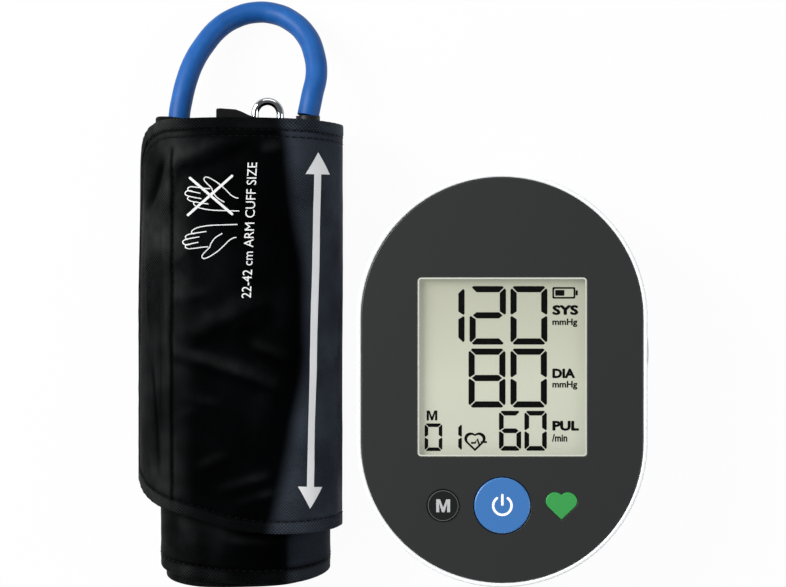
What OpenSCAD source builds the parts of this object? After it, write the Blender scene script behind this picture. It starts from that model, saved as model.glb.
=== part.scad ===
// Upper-arm blood pressure set lying on a table: a rolled cuff with its air hose, and the monitor beside it.
// +X is to the right, +Y runs along the roll, +Z is up off the table.

/* [Monitor case] */
// Width of the black face
face_w = 101.5; // [96:0.5:106]
// Length of the black face
face_l = 146; // [140:0.5:154]
// Width of the white rim round the face
rim_w = 1.5; // [1.2:0.1:2.5]
// Height of the case top above the table
case_h = 41.5; // [38:0.5:46]
// Height of the joint between the two case halves
split_h = 17; // [15:0.5:18.5]
// Wall of the case
case_wall = 2.2; // [1.6:0.1:2.6]
// Thickness of the black face plate
panel_t = 2.5; // [2:0.1:3]
// Rounding of the lower outer edge
base_round = 6; // [3:0.5:8]

/* [Display and keys] */
// Width of the display window
window_w = 61; // [54:0.5:64]
// Length of the display window
window_l = 64.5; // [58:0.5:67]
// Height of the window's middle above the middle of the face
window_y = 4.7; // [3:0.1:7]
// Distance of the key row below the middle of the face
key_row = 45.2; // [44:0.1:48]
// Diameter of the power button
power_d = 20.2; // [16:0.1:21]
// Diameter of the memory button
memory_d = 11.4; // [9:0.1:13]
// Distance of the memory button and the heart light from the power button
key_pitch = 21.3; // [20.5:0.1:24]
// Travel of the buttons
key_travel = 1.2; // [0.8:0.1:1.3]
// Width of the heart light
heart_w = 11.6; // [9:0.1:12]

/* [Pump and air] */
// Diameter of the pump motor
motor_d = 18; // [16:0.5:18.5]
// Length of the pump motor
motor_l = 32; // [28:0.5:34]
// Diameter of the pump head
head_d = 21; // [20:0.5:22]
// Length of the pump head
head_l = 22; // [18:0.5:24]
// Bore of the air socket
socket_d = 6.4; // [5:0.1:7]
// Depth of the air socket's bore
socket_depth = 12; // [10:0.5:13]

/* [Batteries] */
// Diameter of one cell
cell_d = 14.5; // [13.5:0.1:14.5]
// Length of one cell
cell_l = 50.5; // [44:0.5:51]
// Width of the battery door
door_w = 61; // [60.5:0.5:64]

/* [Cuff roll] */
// Width of the roll
roll_w = 74.6; // [73:0.2:78]
// Height of the roll
roll_h = 42; // [41:0.5:44]
// Thickness of the layered cuff
sheet_t = 2.1; // [1.8:0.1:2.2]
// Room between one turn and the next
turn_gap = 0.3; // [0.2:0.05:0.4]
// Height of the cuff, across the arm
cuff_h = 150; // [140:1:156]
// Width of the sewn hems
hem_w = 5; // [3:0.5:7]
// Radius of the flap's corners
flap_corner = 16; // [10:0.5:18]
// Distance of the hook patch from the bend on the right
hook_margin = 4.4; // [2:0.2:12]
// Space between the roll and the monitor
set_gap = 5.3; // [3:0.1:12]
// Distance of the monitor's lower end above the roll's lower end
case_lift = 1.7; // [0:0.1:10]

/* [Bar ring and hose] */
// Diameter of the bar ring's wire
wire_d = 2.8; // [2.2:0.1:2.9]
// Outer width of the bar ring
ring_w = 11.9; // [11:0.1:12.5]
// Length of the bar ring
ring_l = 165; // [158:1:168]
// Outer diameter of the air hose
hose_d = 8; // [7.6:0.1:8]
// Outer diameter of the hose collar
collar_d = 8.8; // [8.6:0.1:9]
// Length of the hose collar
collar_l = 18; // [14:0.5:19]

/* [Hidden] */
$fn = 96;
slip = 0.3;
eps = 0.01;

// Case outline: every wall follows one straight spine with round ends
face_r = face_w / 2;
spine = face_l / 2 - face_r;
case_r = face_r + slip / 2 + rim_w;
case_w = 2 * case_r;
case_l = 2 * (spine + case_r);
inner_r = case_r - case_wall;
foot_h = 3;
foot_show = 2;
foot_d = 10;
floor_z = foot_show + case_wall;
panel_z = case_h - panel_t;
deck_t = 2;
deck_z = panel_z - deck_t;
lip_h = 1.5;
lip_t = 1;

// Display stack, from the lens down to the board
lens_drop = 0.3;
glass_t = 2.2;
glass_margin = 2.5;
light_t = 4;
board_t = 1.6;
board_gap = 13.2;
board_r = inner_r - board_gap;
glass_top = panel_z - 0.2;
light_top = glass_top - glass_t;
board_top = light_top - light_t;
board_z = board_top - board_t;
glass_w = window_w + 2 * glass_margin;
glass_l = window_l + 2 * glass_margin;
strip_w = 2.5;
strip_band = 4;
post_d = 5;
post_spots = [[20, 50], [-20, 50], [32, -34], [-32, -34]];

// Keys
key_proud = 0.5;
flange_out = 1.4;
flange_t = 1.2;
flange_gap = 0.4;
stem_d = 4;
switch_w = 6;
switch_h = 2;
stem_gap = 0.2;
flange_top = panel_z - flange_gap;
stem_end = board_top + switch_h + stem_gap + key_travel;
heart_r = heart_w / (2 + 2 * sqrt(2)) * sqrt(2);
heart_post_d = 3;
led_w = 3;
led_h = 1.4;

// Battery bay under the lower half of the case
cell_pitch = cell_d + 0.3;
bay_in_w = door_w + 2 * slip;
bay_wall = 1.4;
spring_room = 3;
contact_t = 0.6;
bay_in_l = cell_l + spring_room + 2 * contact_t;
bay_top = 1;
bay_y = -51;
cell_z = floor_z + 0.4 + cell_d / 2;
bay_ceiling = cell_z + cell_d / 2 + 0.4;
grip_w = 20;
grip_y = -30;
grip_cut = 1;
grip_depth = 0.5;
grip_count = 5;
door_top_y = bay_y + bay_in_l - 2;

// Pump, valve and air path above the bay
pump_y = 28;
pump_z = floor_z + 1.3 + head_d / 2;
pump_mid_x = -4;
sleeve_t = 1.5;
sleeve_l = 18;
sleeve_x = pump_mid_x + (motor_l - sleeve_l) / 2;
shaft_d = 2;
shaft_slip = 0.25;
shaft_end = 2;
head_wall = 2;
eccentric_d = 9;
eccentric_l = 6;
eccentric_off = 1.6;
cradle_t = 2;
cradle_inset = 3;
socket_y = 10;
socket_z = 24;
socket_side = 2.2;
socket_outer = socket_d + 2 * socket_side;
socket_rim = 1.5;
socket_flange_d = socket_outer + 2 * socket_rim;
socket_flange_t = 1;
socket_wall = 2;
manifold_x = -case_r + socket_depth + socket_wall;
manifold_w = 10;
manifold_y = 2;
manifold_l = 14;
manifold_z = bay_ceiling + bay_top + slip;
tube_d = 4;
tube_bore = 2.4;
tube_bend = 5;
nipple_d = 2;
nipple_l = 6;
feed_y = 12;
feed_x = manifold_x + manifold_w + 3 + tube_bend;
feed_z = manifold_z + 2.2;
sense_y = 5;
sense_w = 8;
sense_h = 4.4;
sense_gap = 9;
sense_x = manifold_x + manifold_w + sense_gap;
sense_spout = 4;
sense_z = board_z - sense_h / 2;
valve_d = 9;
valve_l = 15;
valve_x = manifold_x + manifold_w / 2;
valve_z = manifold_z + 1.2;
valve_gap = 4;
valve_y = manifold_y + manifold_l + valve_gap;
plunger_d = 3;
plunger_l = 9;
plunger_show = 4;
plunger_travel = 1;
head_face_y = pump_y - sqrt(pow(head_d / 2, 2) - pow(feed_z - pump_z, 2));
tube_end_y = pump_y - sqrt(pow(head_d / 2, 2) - pow(feed_z - tube_d / 2 - pump_z, 2)) - slip;

// Screws and feet
screw_spots = [[42, -10], [-42, -10], [36, 44], [-36, 44]];
screw_d = 2.6;
screw_head_d = 5;
screw_head_t = 1.8;
screw_grip = 8;
boss_d = 7.4;
foot_spots = [[38.5, -34], [-38.5, -34], [24, 54], [-24, 54]];

// Roll: a flat spiral of half-round ends and straight runs, one pitch from turn to turn
pitch = sheet_t + turn_gap;
roll_r = roll_h / 2;
roll_c = (roll_w - roll_h - pitch / 2) / 2;
skin_t = sheet_t / 3;
turns = 3;
turn_shift = [0, 16.5, 21];
flap_wrap = 92;
flap_slant = 15;
flap_slant_x = 2;
flap_left = -roll_c - roll_r - pitch / 2;
core_top = roll_r - turns * pitch;
hook_h = 105;

// Bar ring and the folded end that holds it
wire_r = wire_d / 2;
sleeve_bore = wire_d + 0.4;
sleeve_wall = 1;
sleeve_d = sleeve_bore + 2 * sleeve_wall;
ring_left = 3.6;
ring_z = core_top - sleeve_d / 2;
ring_bar_x = ring_left + wire_r;
ring_end_r = ring_w / 2 - wire_r;
ring_over = 7.6;
tab_over = 3.6;
tab_len = 147;
tab_left = -9;
tab_flat = 7;
sleeve_free = 1.4;
ring_straight = ring_over - wire_r - ring_end_r;
tab_slope = tab_over - ring_straight + sleeve_free;

// The whole set is centred on its own box: roll on the left, monitor on the right, both ending at one line
set_w = roll_w + set_gap + case_w;
roll_x = -set_w / 2 - flap_left;
case_x = set_w / 2 - case_r;
roll_reach = cuff_h + turn_shift[2];
set_l = roll_reach + ring_over;
low_y = -set_l / 2;
roll_top = low_y + roll_reach;
case_y = low_y + case_lift + case_l / 2;

// Points of the hose's loop, from the collar over the table and back into the roll
loop_points = [
    [24, 83, 24.5], [25.5, 90.5, 23.5], [27, 98.5, 20.5], [26, 106.5, 16.5], [23, 113.5, 12],
    [17.5, 119, 8], [11, 122, 5], [3.5, 122.5, 4], [-3.5, 120.5, 4.5], [-9.5, 116.5, 6.5],
    [-14.5, 110.5, 8.5], [-18.5, 103.5, 11.5], [-21, 96.5, 13.5], [-22.5, 90, 15], [-23.5, 83.5, 16],
    [-23.5, 75, 16], [-22.5, 64, 16], [-21.5, 50, 16], [-21.5, 36, 16], [-21.5, 22, 16]
];

// Hose: the port and collar on the right, the loop out of the roll, and the hank inside the core
hose_r = hose_d / 2;
port_x = loop_points[0][0];
port_level = loop_points[0][2] - roll_r;
port_top = loop_points[0][1] - collar_l;
port_l = 13;
port_d = 8;
port_barb = 4;
port_flange_d = 9;
port_flange_t = 1.2;
core_right = roll_r - (turns - 1) * pitch - sheet_t;
port_reach = roll_c + sqrt(pow(core_right, 2) - pow(port_flange_d / 2 + port_level, 2)) - slip;
hank_r = 21.5;
hank_low = -5;
hank_high = 3.5;
hank_top = 22;
hank_bottom = -54;
hank_tail = 18;
web_w = 3;
plug_d = 8.6;
plug_l = 16;
plug_nose_d = 6;
plug_nose_l = 10;
seal_w = 1.4;
seal_seat = 0.4;

// Helpers

// Sweeps a profile, drawn as distance from the spine against height, round the case outline
module racetrack(half) {
    for (turn = [0, 180])
        rotate([0, 0, turn])
            translate([0, half, 0])
                rotate_extrude(angle = 180)
                    children();
    for (side = [0, 1])
        mirror([side, 0, 0])
            along_y(half, 2 * half)
                children();
}

// Extrudes a section drawn across the roll towards -Y from the given place
module along_y(top, length) {
    translate([0, top, 0])
        rotate([90, 0, 0])
            linear_extrude(length)
                children();
}

module along_x(from, length) {
    translate([from, 0, 0])
        rotate([90, 0, 90])
            linear_extrude(length)
                children();
}

module band(r0, r1, z0, z1) {
    translate([r0, z0])
        square([r1 - r0, z1 - z0]);
}

module block(x0, x1, y0, y1, z0, z1) {
    translate([x0, y0, z0])
        cube([x1 - x0, y1 - y0, z1 - z0]);
}

module rod(d, x, y, z0, z1) {
    translate([x, y, z0])
        cylinder(d = d, h = z1 - z0);
}

module on_case() {
    translate([case_x, case_y, 0])
        children();
}

// Pump and air path: laid out for a socket on the left and mirrored to the right side
module on_air() {
    on_case()
        mirror([1, 0, 0])
            children();
}

module on_roll() {
    translate([roll_x, 0, roll_r])
        children();
}

module ring_2d(outer, inner) {
    difference() {
        circle(outer);
        circle(inner);
    }
}

// Sections of one turn of the roll, between two depths below the turn's outer face
module right_end(turn, d0, d1) {
    intersection() {
        translate([roll_c, 0])
            ring_2d(roll_r - turn * pitch - d0, roll_r - turn * pitch - d1);
        band(roll_c, roll_c + roll_h, -roll_h, roll_h);
    }
}

module left_end(turn, d0, d1) {
    outer = roll_r - turn * pitch - pitch / 2;
    intersection() {
        translate([-roll_c, -pitch / 2])
            ring_2d(outer - d0, outer - d1);
        band(-roll_c - roll_h, -roll_c, -roll_h, roll_h);
    }
}

module top_run(turn, d0, d1) {
    band(-roll_c, roll_c, roll_r - turn * pitch - d1, roll_r - turn * pitch - d0);
}

module bottom_run(turn, d0, d1) {
    band(-roll_c, roll_c, -roll_r + turn * pitch + d0, -roll_r + turn * pitch + d1);
}

module turn_length(turn, inset) {
    along_y(roll_top - turn_shift[turn] - inset, cuff_h - 2 * inset)
        children();
}

// The flap covers the top of the roll and hangs round its left side
module flap_section(d0, d1) {
    outer = roll_r + pitch / 2;
    reach = 2 * outer;
    band(-roll_c, roll_c - slip, roll_r - d1, roll_r - d0);
    intersection() {
        translate([-roll_c, -pitch / 2])
            ring_2d(outer - d0, outer - d1);
        translate([-roll_c, -pitch / 2])
            polygon([
                [0, 0], [0, reach], [-reach, reach],
                [-reach * sin(flap_wrap), reach * cos(flap_wrap)]
            ]);
    }
}

function arc(x, y, r, from, to, steps = 12) = [
    for (i = [0:steps])
        let (turn = from + (to - from) * i / steps)
            [x + r * cos(turn), y + r * sin(turn)]
];

// Outline of the flap seen from above: round corners at its free end and a slanted lower edge
module flap_outline(inset) {
    left = flap_left + inset;
    top = roll_top - inset;
    bottom = roll_top - cuff_h + inset;
    corner = flap_corner - inset;
    low_angle = 270 - flap_slant;
    low_x = left + corner + corner * cos(low_angle);
    low_y = bottom + tan(flap_slant) * (flap_slant_x - low_x) - corner * sin(low_angle);
    polygon(concat(
        [[roll_c + 1, top]],
        arc(left + corner, top - corner, corner, 90, 180),
        arc(left + corner, low_y, corner, 180, low_angle),
        [[flap_slant_x, bottom], [roll_c + 1, bottom]]
    ));
}

module flap_prism(inset) {
    translate([0, 0, -roll_h])
        linear_extrude(2 * roll_h)
            flap_outline(inset);
}

// Frames along a path, for the hose: each ring is square to the way the hose runs there
function unit(v) = v / norm(v);
function heading(path, i) = unit(path[min(i + 1, len(path) - 1)] - path[max(i - 1, 0)]);
function hose_ring(path, i, r, sides) =
    let (way = i == 0 || i == len(path) - 1 ? [0, i == 0 ? 1 : -1, 0] : heading(path, i))
    let (across = unit(cross(way, [0, 0, 1])))
    let (up = cross(across, way))
    [for (s = [0:sides - 1]) path[i] + r * (cos(360 * s / sides) * across + sin(360 * s / sides) * up)];

module hose_tube(path, r, sides = 12) {
    rings = len(path);
    points = [for (i = [0:rings - 1]) each hose_ring(path, i, r, sides)];
    walls = [
        for (i = [0:rings - 2]) for (s = [0:sides - 1])
            let (here = i * sides, beyond = here + sides, next = (s + 1) % sides)
                [here + s, here + next, beyond + next, beyond + s]
    ];
    caps = [
        [for (s = [sides - 1:-1:0]) s],
        [for (s = [0:sides - 1]) (rings - 1) * sides + s]
    ];
    polyhedron(points, concat(walls, caps), convexity = 6);
}

// Monitor

module front_panel() {
    color([0.19, 0.19, 0.2])
        on_case()
            difference() {
                racetrack(spine)
                    band(0, face_r, panel_z, case_h);
                block(-window_w / 2, window_w / 2, window_y - window_l / 2, window_y + window_l / 2,
                    0, case_h + 1);
                rod(power_d + 2 * slip, 0, -key_row, 0, case_h + 1);
                rod(memory_d + 2 * slip, -key_pitch, -key_row, 0, case_h + 1);
                translate([key_pitch, -key_row, 0])
                    linear_extrude(case_h + 1)
                        heart_2d(heart_r);
            }
}

module heart_2d(r) {
    rotate(45) {
        translate([-r, -r])
            square(2 * r);
        translate([0, r])
            circle(r);
        translate([r, 0])
            circle(r);
    }
}

module case_holes(z0, z1, d) {
    for (spot = screw_spots)
        rod(d, spot[0], spot[1], z0, z1);
}

module upper_case() {
    color([0.93, 0.93, 0.93])
        on_case()
            difference() {
                union() {
                    difference() {
                        racetrack(spine) {
                            band(inner_r, case_r, split_h, deck_z + eps);
                            band(0, case_r, deck_z, panel_z);
                            band(face_r + slip / 2, case_r, panel_z - eps, case_h);
                        }
                        upper_case_openings();
                    }
                    case_holes(split_h + lip_h + slip, deck_z + eps, boss_d);
                    for (spot = post_spots)
                        rod(post_d, spot[0], spot[1], board_top, deck_z + eps);
                }
                case_holes(split_h, split_h + screw_grip + lip_h, screw_d);
                translate([0, socket_y, socket_z])
                    rotate([0, 90, 0])
                        cylinder(d = socket_outer + slip, h = case_r + 1);
            }
}

module upper_case_openings() {
    block(-glass_w / 2 - slip, glass_w / 2 + slip,
        window_y - glass_l / 2 - slip, window_y + glass_l / 2 + slip, deck_z - 1, panel_z + 1);
    rod(power_d + 2 * flange_out + 2 * slip, 0, -key_row, deck_z - 1, panel_z + 1);
    rod(memory_d + 2 * flange_out + 2 * slip, -key_pitch, -key_row, deck_z - 1, panel_z + 1);
    rod(heart_post_d + 2 * slip, key_pitch, -key_row, deck_z - 1, panel_z + 1);
}

module lower_case() {
    color([0.9, 0.9, 0.9])
        on_case()
            difference() {
                union() {
                    difference() {
                        racetrack(spine)
                            lower_profile();
                        door_shape(slip, foot_show - 1, floor_z + 0.5);
                    }
                    case_holes(floor_z - eps, split_h, boss_d);
                    pump_cradles();
                }
                case_holes(foot_show - 1, split_h + 1, screw_d + 0.4);
                case_holes(foot_show - 1, foot_show + screw_head_t + slip, screw_head_d + 2 * slip);
                for (spot = foot_spots)
                    rod(foot_d, spot[0], spot[1], foot_show - 1, foot_h);
            }
}

// Floor, rounded lower edge, side wall and the lip that locates the upper half
module lower_profile() {
    difference() {
        union() {
            band(0, case_r, foot_show, floor_z);
            band(inner_r, case_r, foot_show, split_h);
            band(case_r - base_round, inner_r + eps, floor_z - eps, floor_z + base_round - case_wall);
            band(inner_r - lip_t - slip, inner_r - slip, split_h - 2 * lip_h, split_h + lip_h);
            band(inner_r - lip_t - slip, inner_r + eps, split_h - 2 * lip_h, split_h - lip_h);
        }
        difference() {
            band(case_r - base_round, case_r + 1, foot_show - 1, foot_show + base_round);
            translate([case_r - base_round, foot_show + base_round])
                circle(base_round);
            band(case_r - base_round - 1, case_r - base_round, foot_show - 2, foot_show + base_round);
        }
    }
}

module pump_cradles() {
    mirror([1, 0, 0])
        for (x = [sleeve_x + cradle_inset, sleeve_x + sleeve_l - cradle_inset - cradle_t])
            difference() {
                block(x, x + cradle_t, pump_y - motor_d / 2, pump_y + motor_d / 2, floor_z - eps, pump_z - 3);
                translate([x - 1, pump_y, pump_z])
                    rotate([0, 90, 0])
                        cylinder(d = motor_d + 2 * sleeve_t + slip, h = cradle_t + 2);
            }
}

// Tongue-shaped door that ends with the round end of the case
module door_shape(room, z0, z1) {
    intersection() {
        racetrack(spine)
            band(0, case_r + 1, z0, z1);
        block(-door_w / 2 - room, door_w / 2 + room, -case_l, door_top_y + room, z0, z1);
    }
}

module battery_door() {
    color([0.9, 0.9, 0.9])
        on_case()
            difference() {
                intersection() {
                    racetrack(spine)
                        lower_profile();
                    door_shape(0, foot_show - 1, floor_z);
                }
                for (step = [0:grip_count - 1])
                    block(-grip_w / 2, grip_w / 2,
                        grip_y - 2 * step * grip_cut, grip_y + (1 - 2 * step) * grip_cut,
                        foot_show - 1, foot_show + grip_depth);
            }
}

module battery_bay() {
    half = bay_in_w / 2;
    color([0.8, 0.8, 0.8])
        on_case()
            difference() {
                block(-half - bay_wall, half + bay_wall, bay_y - bay_wall, bay_y + bay_in_l + bay_wall,
                    floor_z, bay_ceiling + bay_top);
                block(-half, half, bay_y, bay_y + bay_in_l, floor_z - 1, bay_ceiling);
            }
}

module each_cell() {
    for (i = [0:3])
        translate([(i - 1.5) * cell_pitch, bay_y + contact_t, cell_z])
            mirror([0, i % 2, 0])
                translate([0, i % 2 == 0 ? 0 : -bay_in_l + 2 * contact_t, 0])
                    children();
}

module batteries() {
    nub_l = 1.2;
    color([0.25, 0.3, 0.35])
        on_case()
            each_cell()
                translate([0, spring_room, 0])
                    rotate([-90, 0, 0]) {
                        cylinder(d = cell_d, h = cell_l - nub_l);
                        cylinder(d = cell_d * 0.38, h = cell_l);
                    }
}

module battery_springs() {
    color("silver")
        on_case()
            each_cell()
                rotate([-90, 0, 0])
                    difference() {
                        cylinder(d = cell_d * 0.6, h = spring_room);
                        translate([0, 0, -1])
                            cylinder(d = cell_d * 0.42, h = spring_room + 2);
                    }
}

module battery_contacts() {
    color("silver")
        on_case()
            for (i = [0:3])
                for (y = [bay_y, bay_y + bay_in_l - contact_t])
                    translate([(i - 1.5) * cell_pitch - cell_d * 0.35, y, cell_z - cell_d * 0.35])
                        cube([cell_d * 0.7, contact_t, cell_d * 0.7]);
}

module lcd_window() {
    color([0.8, 0.85, 0.8])
        on_case()
            block(-window_w / 2, window_w / 2, window_y - window_l / 2, window_y + window_l / 2,
                panel_z, case_h - lens_drop);
}

module lcd_glass() {
    color([0.72, 0.74, 0.66])
        on_case()
            block(-glass_w / 2, glass_w / 2, window_y - glass_l / 2, window_y + glass_l / 2,
                light_top, glass_top);
}

module lcd_backlight() {
    color([0.95, 0.95, 0.95])
        on_case()
            block(-glass_w / 2, glass_w / 2, window_y - glass_l / 2 + strip_band, window_y + glass_l / 2,
                board_top, light_top);
}

module contact_strip() {
    y = window_y - glass_l / 2 + 0.5;
    color([0.9, 0.6, 0.7])
        on_case()
            block(-window_w / 2, window_w / 2, y, y + strip_w, board_top, light_top);
}

module main_board() {
    color([0.1, 0.35, 0.15])
        on_case()
            racetrack(spine)
                band(0, board_r, board_z, board_top);
}

module button_switches() {
    color([0.15, 0.15, 0.15])
        on_case()
            for (x = [0, -key_pitch])
                block(x - switch_w / 2, x + switch_w / 2, -key_row - switch_w / 2, -key_row + switch_w / 2,
                    board_top, board_top + switch_h);
}

module key(d, x) {
    on_case() {
        rod(d, x, -key_row, flange_top - flange_t, case_h + key_proud);
        rod(d + 2 * flange_out, x, -key_row, flange_top - flange_t, flange_top);
        rod(stem_d, x, -key_row, stem_end, flange_top - flange_t + eps);
    }
}

module power_button() {
    color([0.27, 0.49, 0.75])
        key(power_d, 0);
}

module memory_button() {
    color([0.15, 0.15, 0.16])
        key(memory_d, -key_pitch);
}

module heart_lens() {
    color([0.24, 0.62, 0.33])
        on_case() {
            translate([key_pitch, -key_row, panel_z])
                linear_extrude(panel_t)
                    heart_2d(heart_r);
            rod(heart_post_d, key_pitch, -key_row, board_top + led_h + slip, panel_z + eps);
        }
}

module indicator_led() {
    color([0.9, 0.95, 0.85])
        on_case()
            block(key_pitch - led_w / 2, key_pitch + led_w / 2, -key_row - led_w / 2, -key_row + led_w / 2,
                board_top, board_top + led_h);
}

module pressure_sensor() {
    color([0.2, 0.2, 0.22])
        on_air() {
            block(sense_x, sense_x + sense_w, sense_y - sense_w / 2, sense_y + sense_w / 2,
                board_z - sense_h, board_z);
            along_x(sense_x - sense_spout, sense_spout + eps)
                translate([sense_y, sense_z])
                    circle(d = nipple_d);
        }
}

module pump_motor() {
    color([0.7, 0.7, 0.72])
        on_air()
            along_x(pump_mid_x, motor_l)
                translate([pump_y, pump_z])
                    ring_2d(motor_d / 2, shaft_d / 2 + shaft_slip);
}

module pump_sleeve() {
    color([0.12, 0.12, 0.12])
        on_air()
            along_x(sleeve_x, sleeve_l)
                translate([pump_y, pump_z])
                    ring_2d(motor_d / 2 + sleeve_t, motor_d / 2);
}

module pump_head() {
    color([0.85, 0.85, 0.82])
        on_air()
            difference() {
                union() {
                    along_x(pump_mid_x - head_l, head_l)
                        translate([pump_y, pump_z])
                            circle(d = head_d);
                    translate([feed_x, head_face_y + nipple_l / 2, feed_z])
                        rotate([90, 0, 0])
                            cylinder(d = nipple_d, h = nipple_l);
                }
                along_x(pump_mid_x - head_l + head_wall, head_l - 2 * head_wall)
                    translate([pump_y, pump_z])
                        circle(d = head_d - 2 * head_wall);
                along_x(pump_mid_x - head_wall - 1, head_wall + 2)
                    translate([pump_y, pump_z])
                        circle(d = shaft_d + 2 * shaft_slip);
            }
}

module pump_rotor() {
    color("silver")
        on_air() {
            along_x(pump_mid_x - head_l + head_wall + shaft_end, head_l + motor_l - head_wall - 2 * shaft_end)
                translate([pump_y, pump_z])
                    circle(d = shaft_d);
            along_x(pump_mid_x - head_l / 2 - eccentric_l / 2, eccentric_l)
                translate([pump_y + eccentric_off, pump_z])
                    circle(d = eccentric_d);
        }
}

module release_valve() {
    color([0.6, 0.6, 0.55])
        on_air()
            translate([valve_x, valve_y, valve_z])
                rotate([-90, 0, 0])
                    difference() {
                        union() {
                            cylinder(d = valve_d, h = valve_l);
                            translate([0, 0, -2.5])
                                cylinder(d = nipple_d, h = 3);
                        }
                        translate([0, 0, valve_l - plunger_l + plunger_show - plunger_travel - 0.5])
                            cylinder(d = plunger_d + 2 * shaft_slip, h = plunger_l);
                    }
}

module valve_plunger() {
    color("silver")
        on_air()
            translate([valve_x, valve_y + valve_l + plunger_show - plunger_l, valve_z])
                rotate([-90, 0, 0]) {
                    cylinder(d = plunger_d, h = plunger_l);
                    translate([0, 0, plunger_l - 1])
                        cylinder(d = plunger_d + 2, h = 1);
                }
}

module air_manifold() {
    x1 = manifold_x + manifold_w;
    color([0.75, 0.75, 0.75])
        on_air()
            difference() {
                union() {
                    block(manifold_x, x1, manifold_y, manifold_y + manifold_l, manifold_z, board_z - 0.4);
                    along_x(x1 - eps, 2.5)
                        translate([feed_y, feed_z])
                            circle(d = nipple_d);
                    along_x(x1 - eps, 2.5)
                        translate([sense_y, sense_z])
                            circle(d = nipple_d);
                    translate([valve_x, manifold_y + manifold_l - eps, valve_z])
                        rotate([-90, 0, 0])
                            cylinder(d = nipple_d, h = 1.2);
                }
                along_x(manifold_x - 1, manifold_w - 1)
                    translate([socket_y, socket_z])
                        circle(d = 3);
            }
}

module hose_ring_2d() {
    ring_2d(tube_d / 2, tube_bore / 2);
}

module air_tubing() {
    x1 = manifold_x + manifold_w + slip;
    bend_x = feed_x - tube_bend;
    color([0.85, 0.85, 0.8])
        on_air() {
            along_x(x1, bend_x - x1)
                translate([feed_y, feed_z])
                    hose_ring_2d();
            translate([bend_x, feed_y + tube_bend, feed_z])
                rotate([0, 0, -90])
                    rotate_extrude(angle = 90)
                        translate([tube_bend, 0])
                            hose_ring_2d();
            along_y(tube_end_y, tube_end_y - feed_y - tube_bend)
                translate([feed_x, feed_z])
                    hose_ring_2d();
            along_x(x1, sense_x - slip - x1)
                translate([sense_y, sense_z])
                    hose_ring_2d();
            along_y(valve_y - slip, valve_y - manifold_y - manifold_l - 2 * slip)
                translate([valve_x, valve_z])
                    hose_ring_2d();
        }
}

module air_socket() {
    color([0.2, 0.2, 0.2])
        on_air()
            difference() {
                union() {
                    along_x(-case_r, socket_depth + socket_wall)
                        translate([socket_y, socket_z])
                            circle(d = socket_outer);
                    along_x(-case_r - socket_flange_t, socket_flange_t)
                        translate([socket_y, socket_z])
                            circle(d = socket_flange_d);
                }
                along_x(-case_r - socket_flange_t - 1, socket_depth + socket_flange_t + 1)
                    translate([socket_y, socket_z])
                        circle(d = socket_d);
                along_x(-case_r, socket_depth + socket_wall + 1)
                    translate([socket_y, socket_z])
                        circle(d = 3);
            }
}

module rubber_feet() {
    color([0.15, 0.15, 0.15])
        on_case()
            for (spot = foot_spots)
                rod(foot_d, spot[0], spot[1], 0, foot_h);
}

module case_screws() {
    color("silver")
        on_case()
            for (spot = screw_spots) {
                rod(screw_head_d, spot[0], spot[1], foot_show + slip, foot_show + screw_head_t + slip);
                rod(screw_d, spot[0], spot[1], foot_show + slip, split_h + screw_grip);
            }
}

// Cuff

module outer_flap() {
    color([0.06, 0.06, 0.08])
        on_roll()
            intersection() {
                along_y(roll_top, cuff_h)
                    flap_section(0, sheet_t - skin_t);
                flap_prism(hem_w);
            }
}

module flap_binding() {
    color([0.09, 0.09, 0.1])
        on_roll()
            intersection() {
                along_y(roll_top, cuff_h)
                    flap_section(0, sheet_t);
                difference() {
                    flap_prism(0);
                    flap_prism(hem_w);
                }
            }
}

module hook_patch() {
    color([0.12, 0.12, 0.12])
        on_roll()
            along_y(roll_top - (cuff_h - hook_h) / 2, hook_h)
                band(-roll_c, roll_c - hook_margin, roll_r - sheet_t, roll_r - sheet_t + skin_t);
}

module outer_cover() {
    color([0.06, 0.06, 0.08])
        on_roll()
            turn_length(0, hem_w) {
                right_end(0, 0, skin_t);
                bottom_run(0, 0, skin_t);
                left_end(0, 0, skin_t);
            }
}

module loop_panel() {
    color([0.1, 0.1, 0.11])
        on_roll()
            turn_length(1, hem_w)
                top_run(1, 0, skin_t);
}

module inner_cover() {
    color([0.07, 0.07, 0.09])
        on_roll() {
            turn_length(1, hem_w) {
                right_end(1, 0, skin_t);
                bottom_run(1, 0, skin_t);
                left_end(1, 0, skin_t);
            }
            turn_length(2, hem_w) {
                top_run(2, 0, skin_t);
                right_end(2, 0, skin_t);
                bottom_run(2, 0, skin_t);
                left_end(2, 0, skin_t);
            }
        }
}

module air_bladder() {
    color([0.3, 0.3, 0.32])
        on_roll() {
            turn_length(1, 2 * hem_w) {
                right_end(1, skin_t, 2 * skin_t);
                bottom_run(1, skin_t, 2 * skin_t);
                left_end(1, skin_t, 2 * skin_t);
            }
            turn_length(2, 2 * hem_w) {
                top_run(2, skin_t, 2 * skin_t);
                right_end(2, skin_t, 2 * skin_t);
            }
        }
}

module lining() {
    color([0.1, 0.1, 0.12])
        on_roll()
            for (turn = [0:turns - 1])
                turn_length(turn, hem_w) {
                    if (turn > 0)
                        top_run(turn, 2 * skin_t, sheet_t);
                    right_end(turn, 2 * skin_t, sheet_t);
                    bottom_run(turn, 2 * skin_t, sheet_t);
                    left_end(turn, 2 * skin_t, sheet_t);
                }
}

module edge_binding() {
    color([0.09, 0.09, 0.1])
        on_roll()
            for (turn = [0:turns - 1])
                for (top = [roll_top - turn_shift[turn], roll_top - turn_shift[turn] - cuff_h + hem_w])
                    along_y(top, hem_w) {
                        if (turn > 0)
                            top_run(turn, 0, sheet_t);
                        right_end(turn, 0, sheet_t);
                        bottom_run(turn, 0, sheet_t);
                        left_end(turn, 0, sheet_t);
                    }
}

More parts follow.
